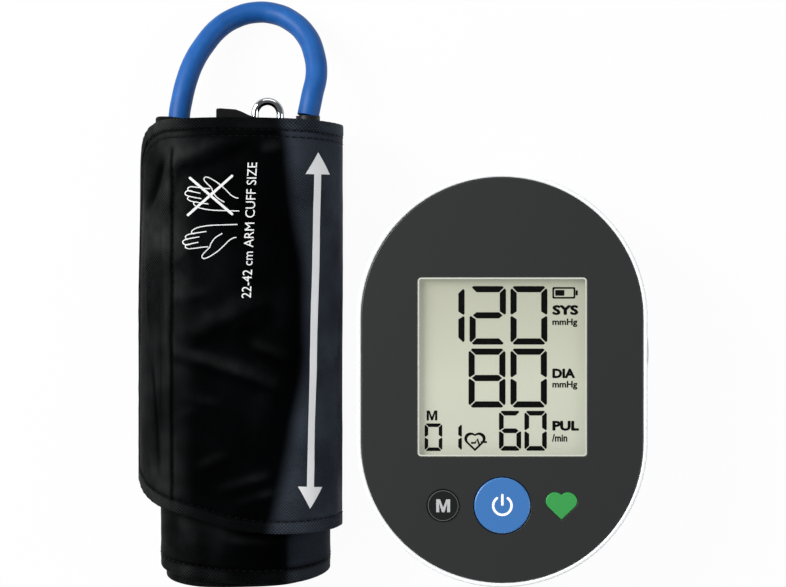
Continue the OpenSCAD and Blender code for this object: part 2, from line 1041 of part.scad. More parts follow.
module bar_ring() {
    top = roll_top + ring_straight;
    run = ring_l - 2 * wire_r - 2 * ring_end_r;
    color([0.85, 0.85, 0.87])
        on_roll()
            translate([ring_bar_x + ring_end_r, 0, ring_z]) {
                for (side = [-1, 1])
                    along_y(top, run)
                        translate([side * ring_end_r, 0])
                            circle(wire_r);
                for (end = [0, 1])
                    translate([0, top - end * run, 0])
                        rotate([0, 0, 180 * end])
                            rotate_extrude(angle = 180)
                                translate([ring_end_r, 0])
                                    circle(wire_r);
            }
}

module ring_sleeve() {
    color([0.07, 0.07, 0.09])
        on_roll()
            difference() {
                along_y(roll_top + tab_over, tab_len)
                    difference() {
                        union() {
                            band(tab_left, ring_bar_x, core_top - sleeve_wall, core_top);
                            translate([ring_bar_x, ring_z])
                                circle(d = sleeve_d);
                        }
                        translate([ring_bar_x, ring_z])
                            circle(d = sleeve_bore);
                    }
                translate([0, roll_top + tab_over, ring_z - sleeve_d])
                    linear_extrude(2 * sleeve_d)
                        polygon([
                            [tab_left + tab_flat, 0], [ring_bar_x, -tab_slope],
                            [ring_bar_x + sleeve_d, -tab_slope], [ring_bar_x + sleeve_d, eps],
                            [tab_left + tab_flat, eps]
                        ]);
            }
}

module air_port() {
    color([0.1, 0.1, 0.1])
        on_roll() {
            along_y(port_top, port_l)
                translate([port_x, port_level])
                    circle(d = port_d);
            along_x(port_x, port_reach - port_x)
                translate([port_top - port_l / 2, port_level])
                    circle(d = port_d * 0.7);
            along_x(port_reach - port_flange_t, port_flange_t)
                translate([port_top - port_l / 2, port_level])
                    circle(d = port_flange_d);
        }
}

module port_collar() {
    color([0.08, 0.08, 0.08])
        on_roll()
            along_y(port_top + collar_l, collar_l)
                translate([port_x, port_level])
                    circle(d = collar_d);
}

// Hose

module hose_loop() {
    color([0.18, 0.41, 0.73])
        translate([roll_x, 0, 0])
            hose_tube(loop_points, hose_r);
}

module level_2d(level) {
    translate([hank_r, level])
        circle(hose_r);
}

module web_2d() {
    translate([hank_r - web_w / 2, hank_low])
        square([web_w, hank_high - hank_low]);
}

// Two stacked rounds of hose; the upper one stops short on the right, where the plug lies
module hose_hank() {
    run = hank_top - hank_bottom;
    color([0.18, 0.41, 0.73])
        on_roll() {
            translate([0, hank_bottom, 0])
                rotate([0, 0, 180])
                    rotate_extrude(angle = 180) {
                        level_2d(hank_low);
                        level_2d(hank_high);
                        web_2d();
                    }
            translate([0, hank_top, 0])
                rotate_extrude(angle = 180)
                    level_2d(hank_high);
            translate([0, hank_top, 0])
                rotate_extrude(angle = 70) {
                    level_2d(hank_low);
                    web_2d();
                }
            mirror([1, 0, 0])
                along_y(hank_top, run) {
                    level_2d(hank_low);
                    level_2d(hank_high);
                    web_2d();
                }
            along_y(hank_top, run)
                level_2d(hank_low);
            along_y(hank_bottom + hank_tail, hank_tail)
                level_2d(hank_high);
        }
}

module plug_axis(from, length) {
    on_roll()
        along_y(hank_bottom + hank_tail + from + length, length)
            translate([hank_r, hank_high])
                children();
}

module air_plug() {
    color([0.15, 0.15, 0.16])
        difference() {
            union() {
                plug_axis(0, plug_l)
                    circle(d = plug_d);
                plug_axis(plug_l - eps, seal_w + eps)
                    circle(d = plug_nose_d + 2 * seal_seat);
                plug_axis(plug_l + seal_w - eps, plug_nose_l - seal_w + eps)
                    circle(d = plug_nose_d);
            }
            plug_axis(plug_l - 2, plug_nose_l + 4)
                circle(d = 3);
        }
}

module plug_seal() {
    color([0.3, 0.1, 0.1])
        plug_axis(plug_l, seal_w)
            ring_2d(plug_d / 2, plug_nose_d / 2 + seal_seat);
}

front_panel();
upper_case();
lower_case();
lcd_window();
lcd_glass();
lcd_backlight();
contact_strip();
main_board();
button_switches();
power_button();
memory_button();
heart_lens();
indicator_led();
pressure_sensor();
pump_motor();
pump_sleeve();
pump_head();
pump_rotor();
release_valve();
valve_plunger();
air_manifold();
air_tubing();
air_socket();
battery_bay();
batteries();
battery_springs();
battery_contacts();
battery_door();
rubber_feet();
case_screws();
outer_flap();
flap_binding();
hook_patch();
outer_cover();
loop_panel();
inner_cover();
air_bladder();
lining();
edge_binding();
bar_ring();
ring_sleeve();
air_port();
port_collar();
hose_loop();
hose_hank();
air_plug();
plug_seal();
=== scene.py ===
import math

import bmesh
import bpy
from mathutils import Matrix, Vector, kdtree, noise


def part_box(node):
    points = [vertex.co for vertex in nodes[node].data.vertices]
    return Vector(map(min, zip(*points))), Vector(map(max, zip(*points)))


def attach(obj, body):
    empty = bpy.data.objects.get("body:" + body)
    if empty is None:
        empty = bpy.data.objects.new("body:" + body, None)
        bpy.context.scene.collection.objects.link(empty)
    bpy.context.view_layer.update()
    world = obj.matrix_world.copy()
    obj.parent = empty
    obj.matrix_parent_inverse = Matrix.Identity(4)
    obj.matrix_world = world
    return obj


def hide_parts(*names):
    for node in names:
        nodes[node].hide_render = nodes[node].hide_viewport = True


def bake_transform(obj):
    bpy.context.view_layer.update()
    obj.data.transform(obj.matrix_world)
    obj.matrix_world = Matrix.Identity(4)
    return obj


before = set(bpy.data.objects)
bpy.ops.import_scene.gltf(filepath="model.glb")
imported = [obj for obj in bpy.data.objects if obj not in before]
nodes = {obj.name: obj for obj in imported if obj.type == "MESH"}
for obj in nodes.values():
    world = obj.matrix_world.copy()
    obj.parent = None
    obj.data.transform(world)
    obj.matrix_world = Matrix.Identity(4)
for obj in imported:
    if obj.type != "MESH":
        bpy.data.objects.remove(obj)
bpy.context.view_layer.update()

MM = 0.001

# Camera: the set is photographed from straight above, with the frame's upper edge just over the hose loop.
# The face of the monitor is the plane in focus, and there one pixel is 0.36 mm.
PIXEL = 0.36
FRAME_WIDTH = 786
IMAGE_MIDDLE = (393, 293.5)
CAMERA_X, CAMERA_Y, CAMERA_HEIGHT = 0.6, 18.2, 1200
face_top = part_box("front_panel")[1][2]
camera_data = bpy.data.cameras.new("overhead_camera")
camera_data.sensor_width = 36
camera_data.lens = CAMERA_HEIGHT * camera_data.sensor_width / (FRAME_WIDTH * PIXEL)
camera_data.clip_end = 20
camera = bpy.data.objects.new("overhead_camera", camera_data)
camera.location = (CAMERA_X * MM, CAMERA_Y * MM, face_top + CAMERA_HEIGHT * MM)
bpy.context.scene.collection.objects.link(camera)
bpy.context.scene.camera = camera
bpy.context.scene.view_settings.view_transform = "Standard"


def deselect_all():
    if bpy.context.object and bpy.context.object.mode != "OBJECT":
        bpy.ops.object.mode_set(mode="OBJECT")
    bpy.ops.object.select_all(action="DESELECT")


# Studio: a pale table top and a soft surround, with one broad lamp on the left and a weaker one on the right.
# The table looks white to the camera and keeps the soft shadow of the set.
WHITE_SHARE = 0.96
deselect_all()
bpy.ops.mesh.primitive_plane_add(size=6, location=(0, 0, -0.0002))
table_top = bpy.context.object
table_top.name = "table_top"


def feed(node, sockets):
    """Give each named input of a shader node a fixed value, or link it to the output that feeds it."""
    for name, source in sockets.items():
        if isinstance(source, bpy.types.NodeSocket):
            node.id_data.links.new(source, node.inputs[name])
        else:
            node.inputs[name].default_value = source


def add_node(tree, kind, sockets=None, operation=None):
    made = tree.nodes.new("ShaderNode" + kind)
    if operation:
        made.operation = operation
    feed(made, sockets or {})
    return made


table_look = bpy.data.materials.new("pale_table")
table_look.use_nodes = True
tree = table_look.node_tree
tree.nodes.clear()
ray = add_node(tree, "LightPath").outputs
seen_in_gloss = add_node(tree, "Math", {0: ray["Is Glossy Ray"], 1: ray["Is Transmission Ray"]}, "MAXIMUM")
seen = add_node(tree, "Math", {0: ray["Is Camera Ray"], 1: seen_in_gloss.outputs[0]}, "MAXIMUM")
white_share = add_node(tree, "Math", {0: seen.outputs[0], 1: WHITE_SHARE}, "MULTIPLY")
table_diffuse = add_node(tree, "BsdfDiffuse", {"Color": (0.6, 0.6, 0.6, 1)})
table_white = add_node(tree, "Emission", {"Color": (1, 1, 1, 1)})
table_mix = add_node(tree, "MixShader", {"Fac": white_share.outputs[0], 1: table_diffuse.outputs[0],
                                         2: table_white.outputs[0]})
add_node(tree, "OutputMaterial", {"Surface": table_mix.outputs[0]})
table_top.data.materials.append(table_look)

world = bpy.data.worlds.new("studio_surround")
bpy.context.scene.world = world
world.use_nodes = True
feed(world.node_tree.nodes["Background"], {"Color": (1, 1, 1, 1), "Strength": 0.14})


def softbox(name, place, aim, size, watts, tint=(1, 1, 1)):
    data = bpy.data.lights.new(name, "AREA")
    data.shape = "RECTANGLE"
    data.size, data.size_y = size
    data.energy = watts
    data.color = tint
    lamp = bpy.data.objects.new(name, data)
    lamp.location = place
    lamp.rotation_euler = (Vector(aim) - Vector(place)).to_track_quat("-Z", "Y").to_euler()
    bpy.context.scene.collection.objects.link(lamp)


softbox("left_softbox", (-0.88, 0.42, 0.72), (-0.03, 0, 0.02), (0.6, 0.8), 24)
softbox("right_softbox", (1.1, -0.1, 0.52), (0.03, 0, 0.02), (0.5, 1.0), 7.5, (0.9, 0.95, 1.0))
softbox("far_softbox", (0.05, 1.05, 0.75), (0, 0, 0.02), (0.9, 0.5), 4)
softbox("near_softbox", (0, -1.05, 0.75), (0, 0, 0.02), (0.9, 0.5), 4.5)


def plastic(name, colour, roughness, grain=0.0, grain_size=0.35 * MM, coat=0.0, specular=0.5):
    """Moulded plastic: a plain body colour, with the fine grain of a mould as bump and uneven gloss."""
    look = bpy.data.materials.new(name)
    look.use_nodes = True
    tree = look.node_tree
    shader = tree.nodes["Principled BSDF"]
    place = add_node(tree, "TexCoord")
    spots = add_node(tree, "TexNoise", {"Vector": place.outputs["Object"], "Scale": 1 / grain_size,
                                        "Detail": 2})
    gloss = add_node(tree, "MapRange", {"Value": spots.outputs["Fac"], "To Min": max(0.02, roughness - 0.06),
                                        "To Max": min(1, roughness + 0.06)})
    feed(shader, {"Base Color": (*colour, 1), "Roughness": gloss.outputs["Result"], "Coat Weight": coat,
                  "Specular IOR Level": specular})
    if grain:
        bump = add_node(tree, "Bump", {"Height": spots.outputs["Fac"], "Strength": grain,
                                       "Distance": 0.05 * MM})
        feed(shader, {"Normal": bump.outputs["Normal"]})
    return look


def wear(piece, look):
    piece.data.materials.clear()
    piece.data.materials.append(look)


# Hose: a satin blue rubber tube of 8 mm. It leaves the black collar at the right of the roll, loops over the
# table, and goes back into the core. There the rest is folded into a hank of two rounds and ends in the plug.
HOSE = 8 * MM
HANK_RADIUS = 21.5
roll_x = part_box("hose_hank")[0][0] + (HANK_RADIUS + HOSE / MM / 2) * MM
LOOP = [
    (24, 83, 24.5), (25.5, 90.5, 23.5), (27, 98.5, 20.5), (26, 106.5, 16.5), (23, 113.5, 12),
    (17.5, 119, 8), (11, 122, 5), (3.5, 122.5, 4), (-3.5, 120.5, 4.5), (-9.5, 116.5, 6.5),
    (-14.5, 110.5, 8.5), (-18.5, 103.5, 11.5), (-21, 96.5, 13.5), (-22.5, 90, 15), (-23.5, 83.5, 16),
    (-23.5, 75, 16), (-22.5, 64, 16), (-21.5, 50, 16), (-21.5, 36, 16), (-21.5, 22, 16),
]
HANK_TOP, HANK_BOTTOM = 22, -54
HANK_LOW, HANK_HIGH = 16, 24.5
HANK_TAIL = 18
TURN_STEPS = 10
RUN_STEPS = 5


def hank_turn(middle, first, last, level):
    """Points round one fold of the hank; level gives the height at each share of the way round."""
    made = []
    for i in range(1, TURN_STEPS + 1):
        angle = math.radians(first + (last - first) * i / TURN_STEPS)
        place = (HANK_RADIUS * math.cos(angle), middle + HANK_RADIUS * math.sin(angle))
        made.append((*place, level(i / TURN_STEPS)))
    return made


def hank_run(x, start, end, height):
    return [(x, start + (end - start) * i / RUN_STEPS, height) for i in range(1, RUN_STEPS + 1)]


def climb(share):
    """The hose climbs onto its first round early in the fold."""
    rise = min(1, share / 0.42)
    return HANK_LOW + (HANK_HIGH - HANK_LOW) * rise * rise * (3 - 2 * rise)


hose_route = list(LOOP)
hose_route += hank_run(-HANK_RADIUS, HANK_TOP, HANK_BOTTOM, HANK_LOW)
hose_route += hank_turn(HANK_BOTTOM, 180, 360, lambda share: HANK_LOW)
hose_route += hank_run(HANK_RADIUS, HANK_BOTTOM, HANK_TOP, HANK_LOW)
hose_route += hank_turn(HANK_TOP, 0, 180, climb)
hose_route += hank_run(-HANK_RADIUS, HANK_TOP, HANK_BOTTOM, HANK_HIGH)
hose_route += hank_turn(HANK_BOTTOM, 180, 360, lambda share: HANK_HIGH)
hose_route.append((HANK_RADIUS, HANK_BOTTOM + HANK_TAIL / 2, HANK_HIGH))
hose_route.append((HANK_RADIUS, HANK_BOTTOM + HANK_TAIL, HANK_HIGH))
hose_route = [Vector((roll_x + x * MM, y * MM, z * MM)) for x, y, z in hose_route]

hose_curve = bpy.data.curves.new("air_hose", "CURVE")
hose_curve.dimensions = "3D"
hose_curve.bevel_depth = HOSE / 2
hose_curve.bevel_resolution = 8
hose_curve.resolution_u = 10
hose_curve.use_fill_caps = True
hose_line = hose_curve.splines.new("BEZIER")
hose_line.bezier_points.add(len(hose_route) - 1)
for knot, place in zip(hose_line.bezier_points, hose_route):
    knot.co = place
    knot.handle_left_type = knot.handle_right_type = "AUTO"
air_hose = bpy.data.objects.new("air_hose", hose_curve)
bpy.context.scene.collection.objects.link(air_hose)
bpy.context.view_layer.update()


def hose_rubber(name):
    """Extruded rubber: satin, slightly paler in soft random patches of dust, with faint draw marks."""
    look = bpy.data.materials.new(name)
    look.use_nodes = True
    tree = look.node_tree
    shader = tree.nodes["Principled BSDF"]
    place = add_node(tree, "TexCoord")
    cloud = add_node(tree, "TexNoise", {"Vector": place.outputs["Object"], "Scale": 160, "Detail": 4})
    tint = add_node(tree, "ValToRGB", {"Fac": cloud.outputs["Fac"]})
    darker, paler = tint.color_ramp.elements
    darker.position, darker.color = 0.3, (0.005, 0.06, 0.225, 1)
    paler.position, paler.color = 0.7, (0.008, 0.079, 0.278, 1)
    fine = add_node(tree, "TexNoise", {"Vector": place.outputs["Object"], "Scale": 2600})
    bump = add_node(tree, "Bump", {"Height": fine.outputs["Fac"], "Strength": 0.12, "Distance": 0.04 * MM})
    feed(shader, {"Base Color": tint.outputs["Color"], "Roughness": 0.46, "Specular IOR Level": 0.17,
                  "Subsurface Weight": 0.06, "Subsurface Radius": (0.5 * MM, 0.8 * MM, 1.5 * MM),
                  "Normal": bump.outputs["Normal"]})
    return look


wear(air_hose, hose_rubber("blue_hose_rubber"))
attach(air_hose, "cuff")
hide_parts("hose_loop", "hose_hank")
tuple(hose_route[0])

# Monitor face: one black moulded plate with a satin face, let into the white case and held by its lip.
# Openings for the window, the two keys and the heart are cut through it, all with a small rounded edge.
case_x, case_y = [sum(c) / 2 for c in list(zip(*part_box("front_panel")))[:2]]
FACE_R, FACE_SPINE = 50.75, 22.25
FACE_LOW, FACE_HIGH = 39, 41.5
SMOOTH_ANGLE = math.radians(35)
WINDOW_W, WINDOW_H, WINDOW_R, WINDOW_Y = 61, 64.5, 1.3, 4.7
KEY_ROW, HEART_ROW = -45.2, -45.5
POWER_R, MEMORY_R, MEMORY_X, HEART_X, HEART_W = 10.1, 5.7, -21.3, 21.3, 11.3
POWER_GAP, MEMORY_GAP, HEART_GAP, FACE_EDGE = 0.28, 0.1, 0.3, 0.3


def circle_line(radius, x, y, count=96, first=0, last=360):
    turn = [math.radians(first + (last - first) * i / count) for i in range(count + (last - first != 360))]
    return [(x + radius * math.cos(a), y + radius * math.sin(a)) for a in turn]


def stadium_line(radius, half, x=0, y=0, count=72):
    top = [(px + x, py + half + y) for px, py in circle_line(radius, 0, 0, count, 0, 180)]
    low = [(px + x, py - half + y) for px, py in circle_line(radius, 0, 0, count, 180, 360)]
    return top + low


def rounded_line(width, height, radius, x, y):
    made = []
    for sx, sy, first in ((1, 1, 0), (-1, 1, 90), (-1, -1, 180), (1, -1, 270)):
        middle = (x + sx * (width / 2 - radius), y + sy * (height / 2 - radius))
        made += circle_line(radius, *middle, 8, first, first + 90)
    return made


def heart_line(width, x, y, count=28):
    """Two round lobes and straight sides that meet in a point below."""
    side = width / 1.7071
    off = side * 0.35355
    lobes = circle_line(side / 2, off, off, count, -45, 135)
    lobes += circle_line(side / 2, -off, off, count, 45, 225)[1:]
    return [(x + px, y + 0.955 * py - 0.03 * width) for px, py in lobes + [(0, -side * 0.7071)]]


def flat_piece(name, outlines, low, high, edge=0.0, steps=3, at=None):
    """A plate cut to its outlines (the outside first, then holes), with rounded edges; sizes in mm."""
    middle = at or (case_x, case_y)
    curve = bpy.data.curves.new(name, "CURVE")
    curve.dimensions = "2D"
    curve.fill_mode = "BOTH"
    curve.extrude = (high - low) / 2 * MM - edge * MM
    curve.bevel_depth = edge * MM
    curve.bevel_resolution = steps
    curve.offset = -edge * MM
    for outline in outlines:
        line = curve.splines.new("POLY")
        line.points.add(len(outline) - 1)
        for knot, (px, py) in zip(line.points, outline):
            knot.co = (px * MM, py * MM, 0, 1)
        line.use_cyclic_u = True
    piece = bpy.data.objects.new(name, curve)
    piece.location = (middle[0], middle[1], (low + high) / 2 * MM)
    bpy.context.scene.collection.objects.link(piece)
    deselect_all()
    piece.select_set(True)
    bpy.context.view_layer.objects.active = piece
    bpy.ops.object.convert(target="MESH")
    piece = bpy.context.object
    bpy.ops.object.transform_apply(location=True, rotation=True, scale=True)
    bpy.ops.object.shade_smooth_by_angle(angle=SMOOTH_ANGLE)
    piece.name = name
    return piece


face_plate = flat_piece("face_plate", [
    stadium_line(FACE_R, FACE_SPINE),
    rounded_line(WINDOW_W, WINDOW_H, WINDOW_R, 0, WINDOW_Y),
    circle_line(POWER_R + POWER_GAP, 0, KEY_ROW),
    circle_line(MEMORY_R + MEMORY_GAP, MEMORY_X, KEY_ROW),
    heart_line(HEART_W + HEART_GAP, HEART_X, HEART_ROW),
], FACE_LOW, FACE_HIGH, FACE_EDGE)
wear(face_plate, plastic("face_black_satin", (0.0132, 0.0136, 0.0138), 0.42, 0.35, 0.3 * MM, 0, 0.5))
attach(face_plate, "monitor")
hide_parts("front_panel")

# White case: two moulded shells with a rounded rim round the face and a fine groove where they meet.
# The upper shell is new here, with the hole for the air socket. The lower one keeps its form, edges softened.
CASE_R, CASE_H, SPLIT = 52.4, 41.5, 17
RIM_EDGE, SOCKET_HOLE_R = 0.75, 5.5


def bore(piece, radius, depth, turn, middle, vertices):
    """Drill a round hole through a piece."""
    deselect_all()
    bpy.ops.mesh.primitive_cylinder_add(vertices=vertices, radius=radius, depth=depth, rotation=turn,
                                        location=middle)
    cutter = bpy.context.object
    cut = piece.modifiers.new("bore", "BOOLEAN")
    cut.object = cutter
    cut.operation = "DIFFERENCE"
    deselect_all()
    piece.select_set(True)
    bpy.context.view_layer.objects.active = piece
    bpy.ops.object.modifier_apply(modifier="bore")
    bpy.data.objects.remove(cutter)


shell_lines = [stadium_line(CASE_R, FACE_SPINE), stadium_line(FACE_R + 0.05, FACE_SPINE)]
upper_shell = flat_piece("upper_shell", shell_lines, SPLIT + 0.1, CASE_H, RIM_EDGE, 5)
socket_middle = [sum(c) / 2 for c in zip(*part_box("air_socket"))]
socket_middle[0] = case_x + CASE_R * MM
bore(upper_shell, SOCKET_HOLE_R * MM, 12 * MM, (0, math.pi / 2, 0), socket_middle, 48)
bpy.ops.object.shade_smooth_by_angle(angle=SMOOTH_ANGLE)
case_white = plastic("case_white_gloss", (0.76, 0.77, 0.775), 0.3, 0.12, 0.4 * MM, 0.1)
wear(upper_shell, case_white)
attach(upper_shell, "monitor")
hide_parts("upper_case")


def soften(name, width, look):
    """A built piece keeps its form; its edges get the small rounding that moulding or pressing leaves."""
    piece = nodes[name]
    weld = piece.modifiers.new("weld", "WELD")
    weld.merge_threshold = 0.002 * MM
    rounding = piece.modifiers.new("rounding", "BEVEL")
    rounding.width = width * MM
    rounding.segments = 2
    rounding.limit_method = "ANGLE"
    rounding.angle_limit = math.radians(40)
    rounding.harden_normals = False
    wear(piece, look)


soften("lower_case", 0.3, case_white)
soften("battery_door", 0.25, case_white)

# Window: a clear moulded lens glued flush into the face, with a painted highlight along its polished edge
# where light gathers.
# Under it lies the grey-green display glass with its black segments; painted shade darkens its top, and a
# painted glow lights it evenly.
LENS_W, LENS_H, LENS_R, LENS_LOW, LENS_TOP = 60.8, 64.3, 1.2, 39.05, 41.2
LENS_EDGE = 0.475
lens_clear = plastic("lens_clear_acrylic", (0.01, 0.01, 0.01), 0.06, specular=0.2)
feed(lens_clear.node_tree.nodes["Principled BSDF"], {"Alpha": 0.06})
lens_line = rounded_line(LENS_W, LENS_H, LENS_R, 0, WINDOW_Y)
window_lens = flat_piece("window_lens", [lens_line], LENS_LOW, LENS_TOP, 0.15)
wear(window_lens, lens_clear)
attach(window_lens, "monitor")
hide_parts("lcd_window")
# Painted highlight: a pale ring on the lens top stands for the light gathered in its edge.
inner_line = rounded_line(LENS_W - 2 * LENS_EDGE, LENS_H - 2 * LENS_EDGE, 0.8, 0, WINDOW_Y)
lens_rim_highlight = flat_piece("lens_rim_highlight", [lens_line, inner_line], LENS_TOP - 0.02, LENS_TOP + 0.02)
wear(lens_rim_highlight, plastic("pale_lens_rim_highlight", (0.5, 0.52, 0.455), 0.4))
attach(lens_rim_highlight, "monitor")

LCD_HALF = 32
lcd_look = plastic("lcd_glass_green", (0.5, 0.52, 0.42), 0.25)
tree = lcd_look.node_tree
lcd_place = add_node(tree, "TexCoord")
lcd_split = add_node(tree, "SeparateXYZ", {"Vector": lcd_place.outputs["Object"]})
lcd_range = add_node(tree, "MapRange", {"Value": lcd_split.outputs["Y"],
                                        "From Min": case_y + (WINDOW_Y - LCD_HALF) * MM,
                                        "From Max": case_y + (WINDOW_Y + LCD_HALF) * MM})
lcd_colour_and_shade = add_node(tree, "ValToRGB", {"Fac": lcd_range.outputs["Result"]})
lcd_colour_and_shade.color_ramp.elements[0].color = (0.37, 0.38, 0.31, 1)
lcd_colour_and_shade.color_ramp.elements.new(0.4).color = (0.385, 0.395, 0.32, 1)
lcd_colour_and_shade.color_ramp.elements[2].color = (0.308, 0.315, 0.246, 1)
# Painted shade: the ramp is darker at the top; painted light: the glass glows in its own colour to look
# evenly lit.
feed(tree.nodes["Principled BSDF"], {"Base Color": lcd_colour_and_shade.outputs["Color"],
                                     "Emission Color": lcd_colour_and_shade.outputs["Color"], "Emission Strength": 0.65})
wear(nodes["lcd_glass"], lcd_look)

LCD_TOP, INK, LAYER = 38.82, 0.03, 0.003
LCD_MIDDLE = (501.6, 366.9)
BATTERY_PX, PULSE_PX, MEMORY_PX = (552, 287, 575, 298.6), (474.4, 442.3), (426, 410.7, 436.7, 420.6)
SEGMENTS = {"0": "abcdef", "1": "bc", "2": "abged", "6": "acdefg", "8": "abcdefg"}


def lcd_x(px):
    return (px - LCD_MIDDLE[0]) * PIXEL


def lcd_y(py):
    return (LCD_MIDDLE[1] - py) * PIXEL + WINDOW_Y


def ribbon(points, width, ends=5):
    """A stroke of even width along points, with round ends, as one closed outline."""
    def offset(line, side):
        made = []
        for i, (x, y) in enumerate(line):
            (xa, ya), (xb, yb) = line[max(0, i - 1)], line[min(len(line) - 1, i + 1)]
            reach = side * width / 2 / (math.hypot(xb - xa, yb - ya) or 1)
            made.append((x - (yb - ya) * reach, y + (xb - xa) * reach))
        return made

    def cap(tip, before):
        heading = math.atan2(tip[1] - before[1], tip[0] - before[0])
        turn = [heading + math.pi / 2 - math.pi * i / ends for i in range(1, ends)]
        return [(tip[0] + width / 2 * math.cos(a), tip[1] + width / 2 * math.sin(a)) for a in turn]

    there, back = offset(points, 1), offset(points, -1)[::-1]
    return there + cap(points[-1], points[-2]) + back + cap(points[0], points[1])


def seven(x0, y0, x1, y1, stroke, digit):
    """The lit segments of one digit between two corners given in pixels of the photograph."""
    left, right, high, low = lcd_x(x0), lcd_x(x1), lcd_y(y0), lcd_y(y1)
    t, gap, cut = stroke * PIXEL, 0.13 * stroke * PIXEL, 0.6 * stroke * PIXEL
    near, far = (cut - gap) / 2, (cut + gap) / 2
    width, height = right - left, high - low
    half = height / 2
    shapes = {
        "a": [(cut, 0), (width - cut, 0), (width - far, near), (width - t - gap, t), (t + gap, t),
              (far, near)],
        "f": [(0, cut), (near, far), (t, t + gap), (t, half - t / 2 - gap), (0.2 * t, half - 0.75 * gap),
              (0, half - 0.3 * t)],
        "g": [(t * 0.4 + gap, half), (t + gap, half - t / 2), (width - t - gap, half - t / 2),
              (width - t * 0.4 - gap, half), (width - t - gap, half + t / 2), (t + gap, half + t / 2)],
    }
    shapes["b"] = [(width - px, py) for px, py in shapes["f"]]
    shapes["d"] = [(px, height - py) for px, py in shapes["a"]]
    shapes["e"] = [(px, height - py) for px, py in shapes["f"]]
    shapes["c"] = [(width - px, height - py) for px, py in shapes["f"]]
    return [[(left + px, high - py) for px, py in shapes[key]] for key in SEGMENTS[digit]]


lcd_ink = plastic("lcd_segment_black", (0.0015, 0.0016, 0.0016), 0.6, specular=0.05)
shown = []
for digit, x0, y0, x1, y1, stroke in (
        ("1", 427, 286.5, 464, 344.5, 6.2), ("2", 469, 286, 505.5, 344.6, 6.2),
        ("0", 510, 286, 547, 344.6, 6.2),
        ("8", 468, 348.6, 505, 407.7, 6.2), ("0", 510, 348.6, 546.6, 407.7, 6.2),
        ("6", 498.5, 411, 520.7, 451, 4.7), ("0", 524, 411, 546.4, 451, 4.7),
        ("0", 424, 423.6, 441.7, 451.3, 3.6), ("1", 443.6, 423.6, 461.3, 451.3, 3.6)):
    shown += seven(x0, y0, x1, y1, stroke, digit)
left_px, top_px, right_px, low_px = BATTERY_PX
bx0, bx1, by0, by1 = lcd_x(left_px), lcd_x(right_px), lcd_y(low_px), lcd_y(top_px)
battery_mid = ((bx0 + bx1) / 2, (by0 + by1) / 2)


def box_line(x0, y0, x1, y1):
    return [(x0, y0), (x1, y0), (x1, y1), (x0, y1)]


shown.append(rounded_line(bx1 - bx0, by1 - by0, 0.5, *battery_mid))
shown.append(rounded_line(bx1 - bx0 - 1.25, by1 - by0 - 1.25, 0.3, *battery_mid)[::-1])
shown.append(box_line(bx1 + 0.1, battery_mid[1] - 0.9, bx1 + 0.9, battery_mid[1] + 0.9))
shown.append(box_line(bx0 + 1.05, by0 + 1.05, battery_mid[0] + 0.2, by1 - 1.05))
pulse_x, pulse_y = lcd_x(PULSE_PX[0]), lcd_y(PULSE_PX[1])
shown.append(heart_line(7.7, pulse_x, pulse_y))
shown.append(heart_line(5.6, pulse_x, pulse_y + 0.05)[::-1])
lcd_digits = flat_piece("lcd_digits", shown, LCD_TOP, LCD_TOP + INK)
wear(lcd_digits, lcd_ink)
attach(lcd_digits, "monitor")
pulse = [(-1.1, -0.3), (0.1, -0.3), (0.85, 1.1), (1.75, -1.6), (2.35, 0), (4, 0)]
pulse = [(x + pulse_x, y + pulse_y) for x, y in pulse]
pulse_mark = flat_piece("pulse_mark", [ribbon(pulse, 0.74)], LCD_TOP + INK, LCD_TOP + 0.05)
wear(pulse_mark, lcd_ink)
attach(pulse_mark, "monitor")


def letters(name, words):
    """Words as a flat piece, in the font's own size."""
    deselect_all()
    bpy.ops.object.text_add(location=(0, 0, 0))
    text = bpy.context.object
    text.data.body = words
    text.data.resolution_u = 3
    bpy.ops.object.convert(target="MESH")
    piece = bpy.context.object
    piece.name = name
    xs, ys = [v.co.x for v in piece.data.vertices], [v.co.y for v in piece.data.vertices]
    return piece, (min(xs), min(ys)), (max(xs), max(ys))


def lcd_label(name, words, x0, y0, x1, y1, bold):
    """Bold letters made of shifted layers, fitted to a rectangle given in mm from the middle of the face."""
    piece, (low_x, low_y), (high_x, high_y) = letters(name, words)
    places = [v.co.copy() for v in piece.data.vertices]
    faces = [list(p.vertices) for p in piece.data.polygons]
    verts, thick = [], []
    for layer, (px, py) in enumerate([(0, 0)] + circle_line(bold, 0, 0, 8)):
        thick += [[i + len(verts) for i in face] for face in faces]
        verts += [place + Vector((px, py, LAYER * MM * layer)) for place in places]
    piece.data = bpy.data.meshes.new(name)
    piece.data.from_pydata(verts, [], thick)
    scale_x = (x1 - x0) * MM / (high_x - low_x + 2 * bold)
    scale_y = (y1 - y0) * MM / (high_y - low_y + 2 * bold)
    piece.scale = (scale_x, scale_y, 1)
    piece.location = (case_x + x0 * MM - (low_x - bold) * scale_x,
                      case_y + y0 * MM - (low_y - bold) * scale_y, (LCD_TOP + 0.02) * MM)
    bpy.ops.object.transform_apply(location=True, rotation=True, scale=True)
    wear(piece, lcd_ink)
    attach(piece, "monitor")


for name, words, x0, y0, x1, y1, bold in (
        ("label_sys", "SYS", 552, 305, 578, 315, 0.052),
        ("label_mmhg_1", "mmHg", 552, 318.5, 577, 327, 0.033),
        ("label_dia", "DIA", 552, 368.6, 574.7, 378.3, 0.052),
        ("label_mmhg_2", "mmHg", 552, 381, 577, 389.8, 0.033),
        ("label_pul", "PUL", 552, 421, 578.7, 431, 0.052),
        ("label_per_min", "/min", 551.6, 434.2, 567, 442, 0.033)):
    lcd_label(name, words, lcd_x(x0), lcd_y(y1), lcd_x(x1), lcd_y(y0), bold)


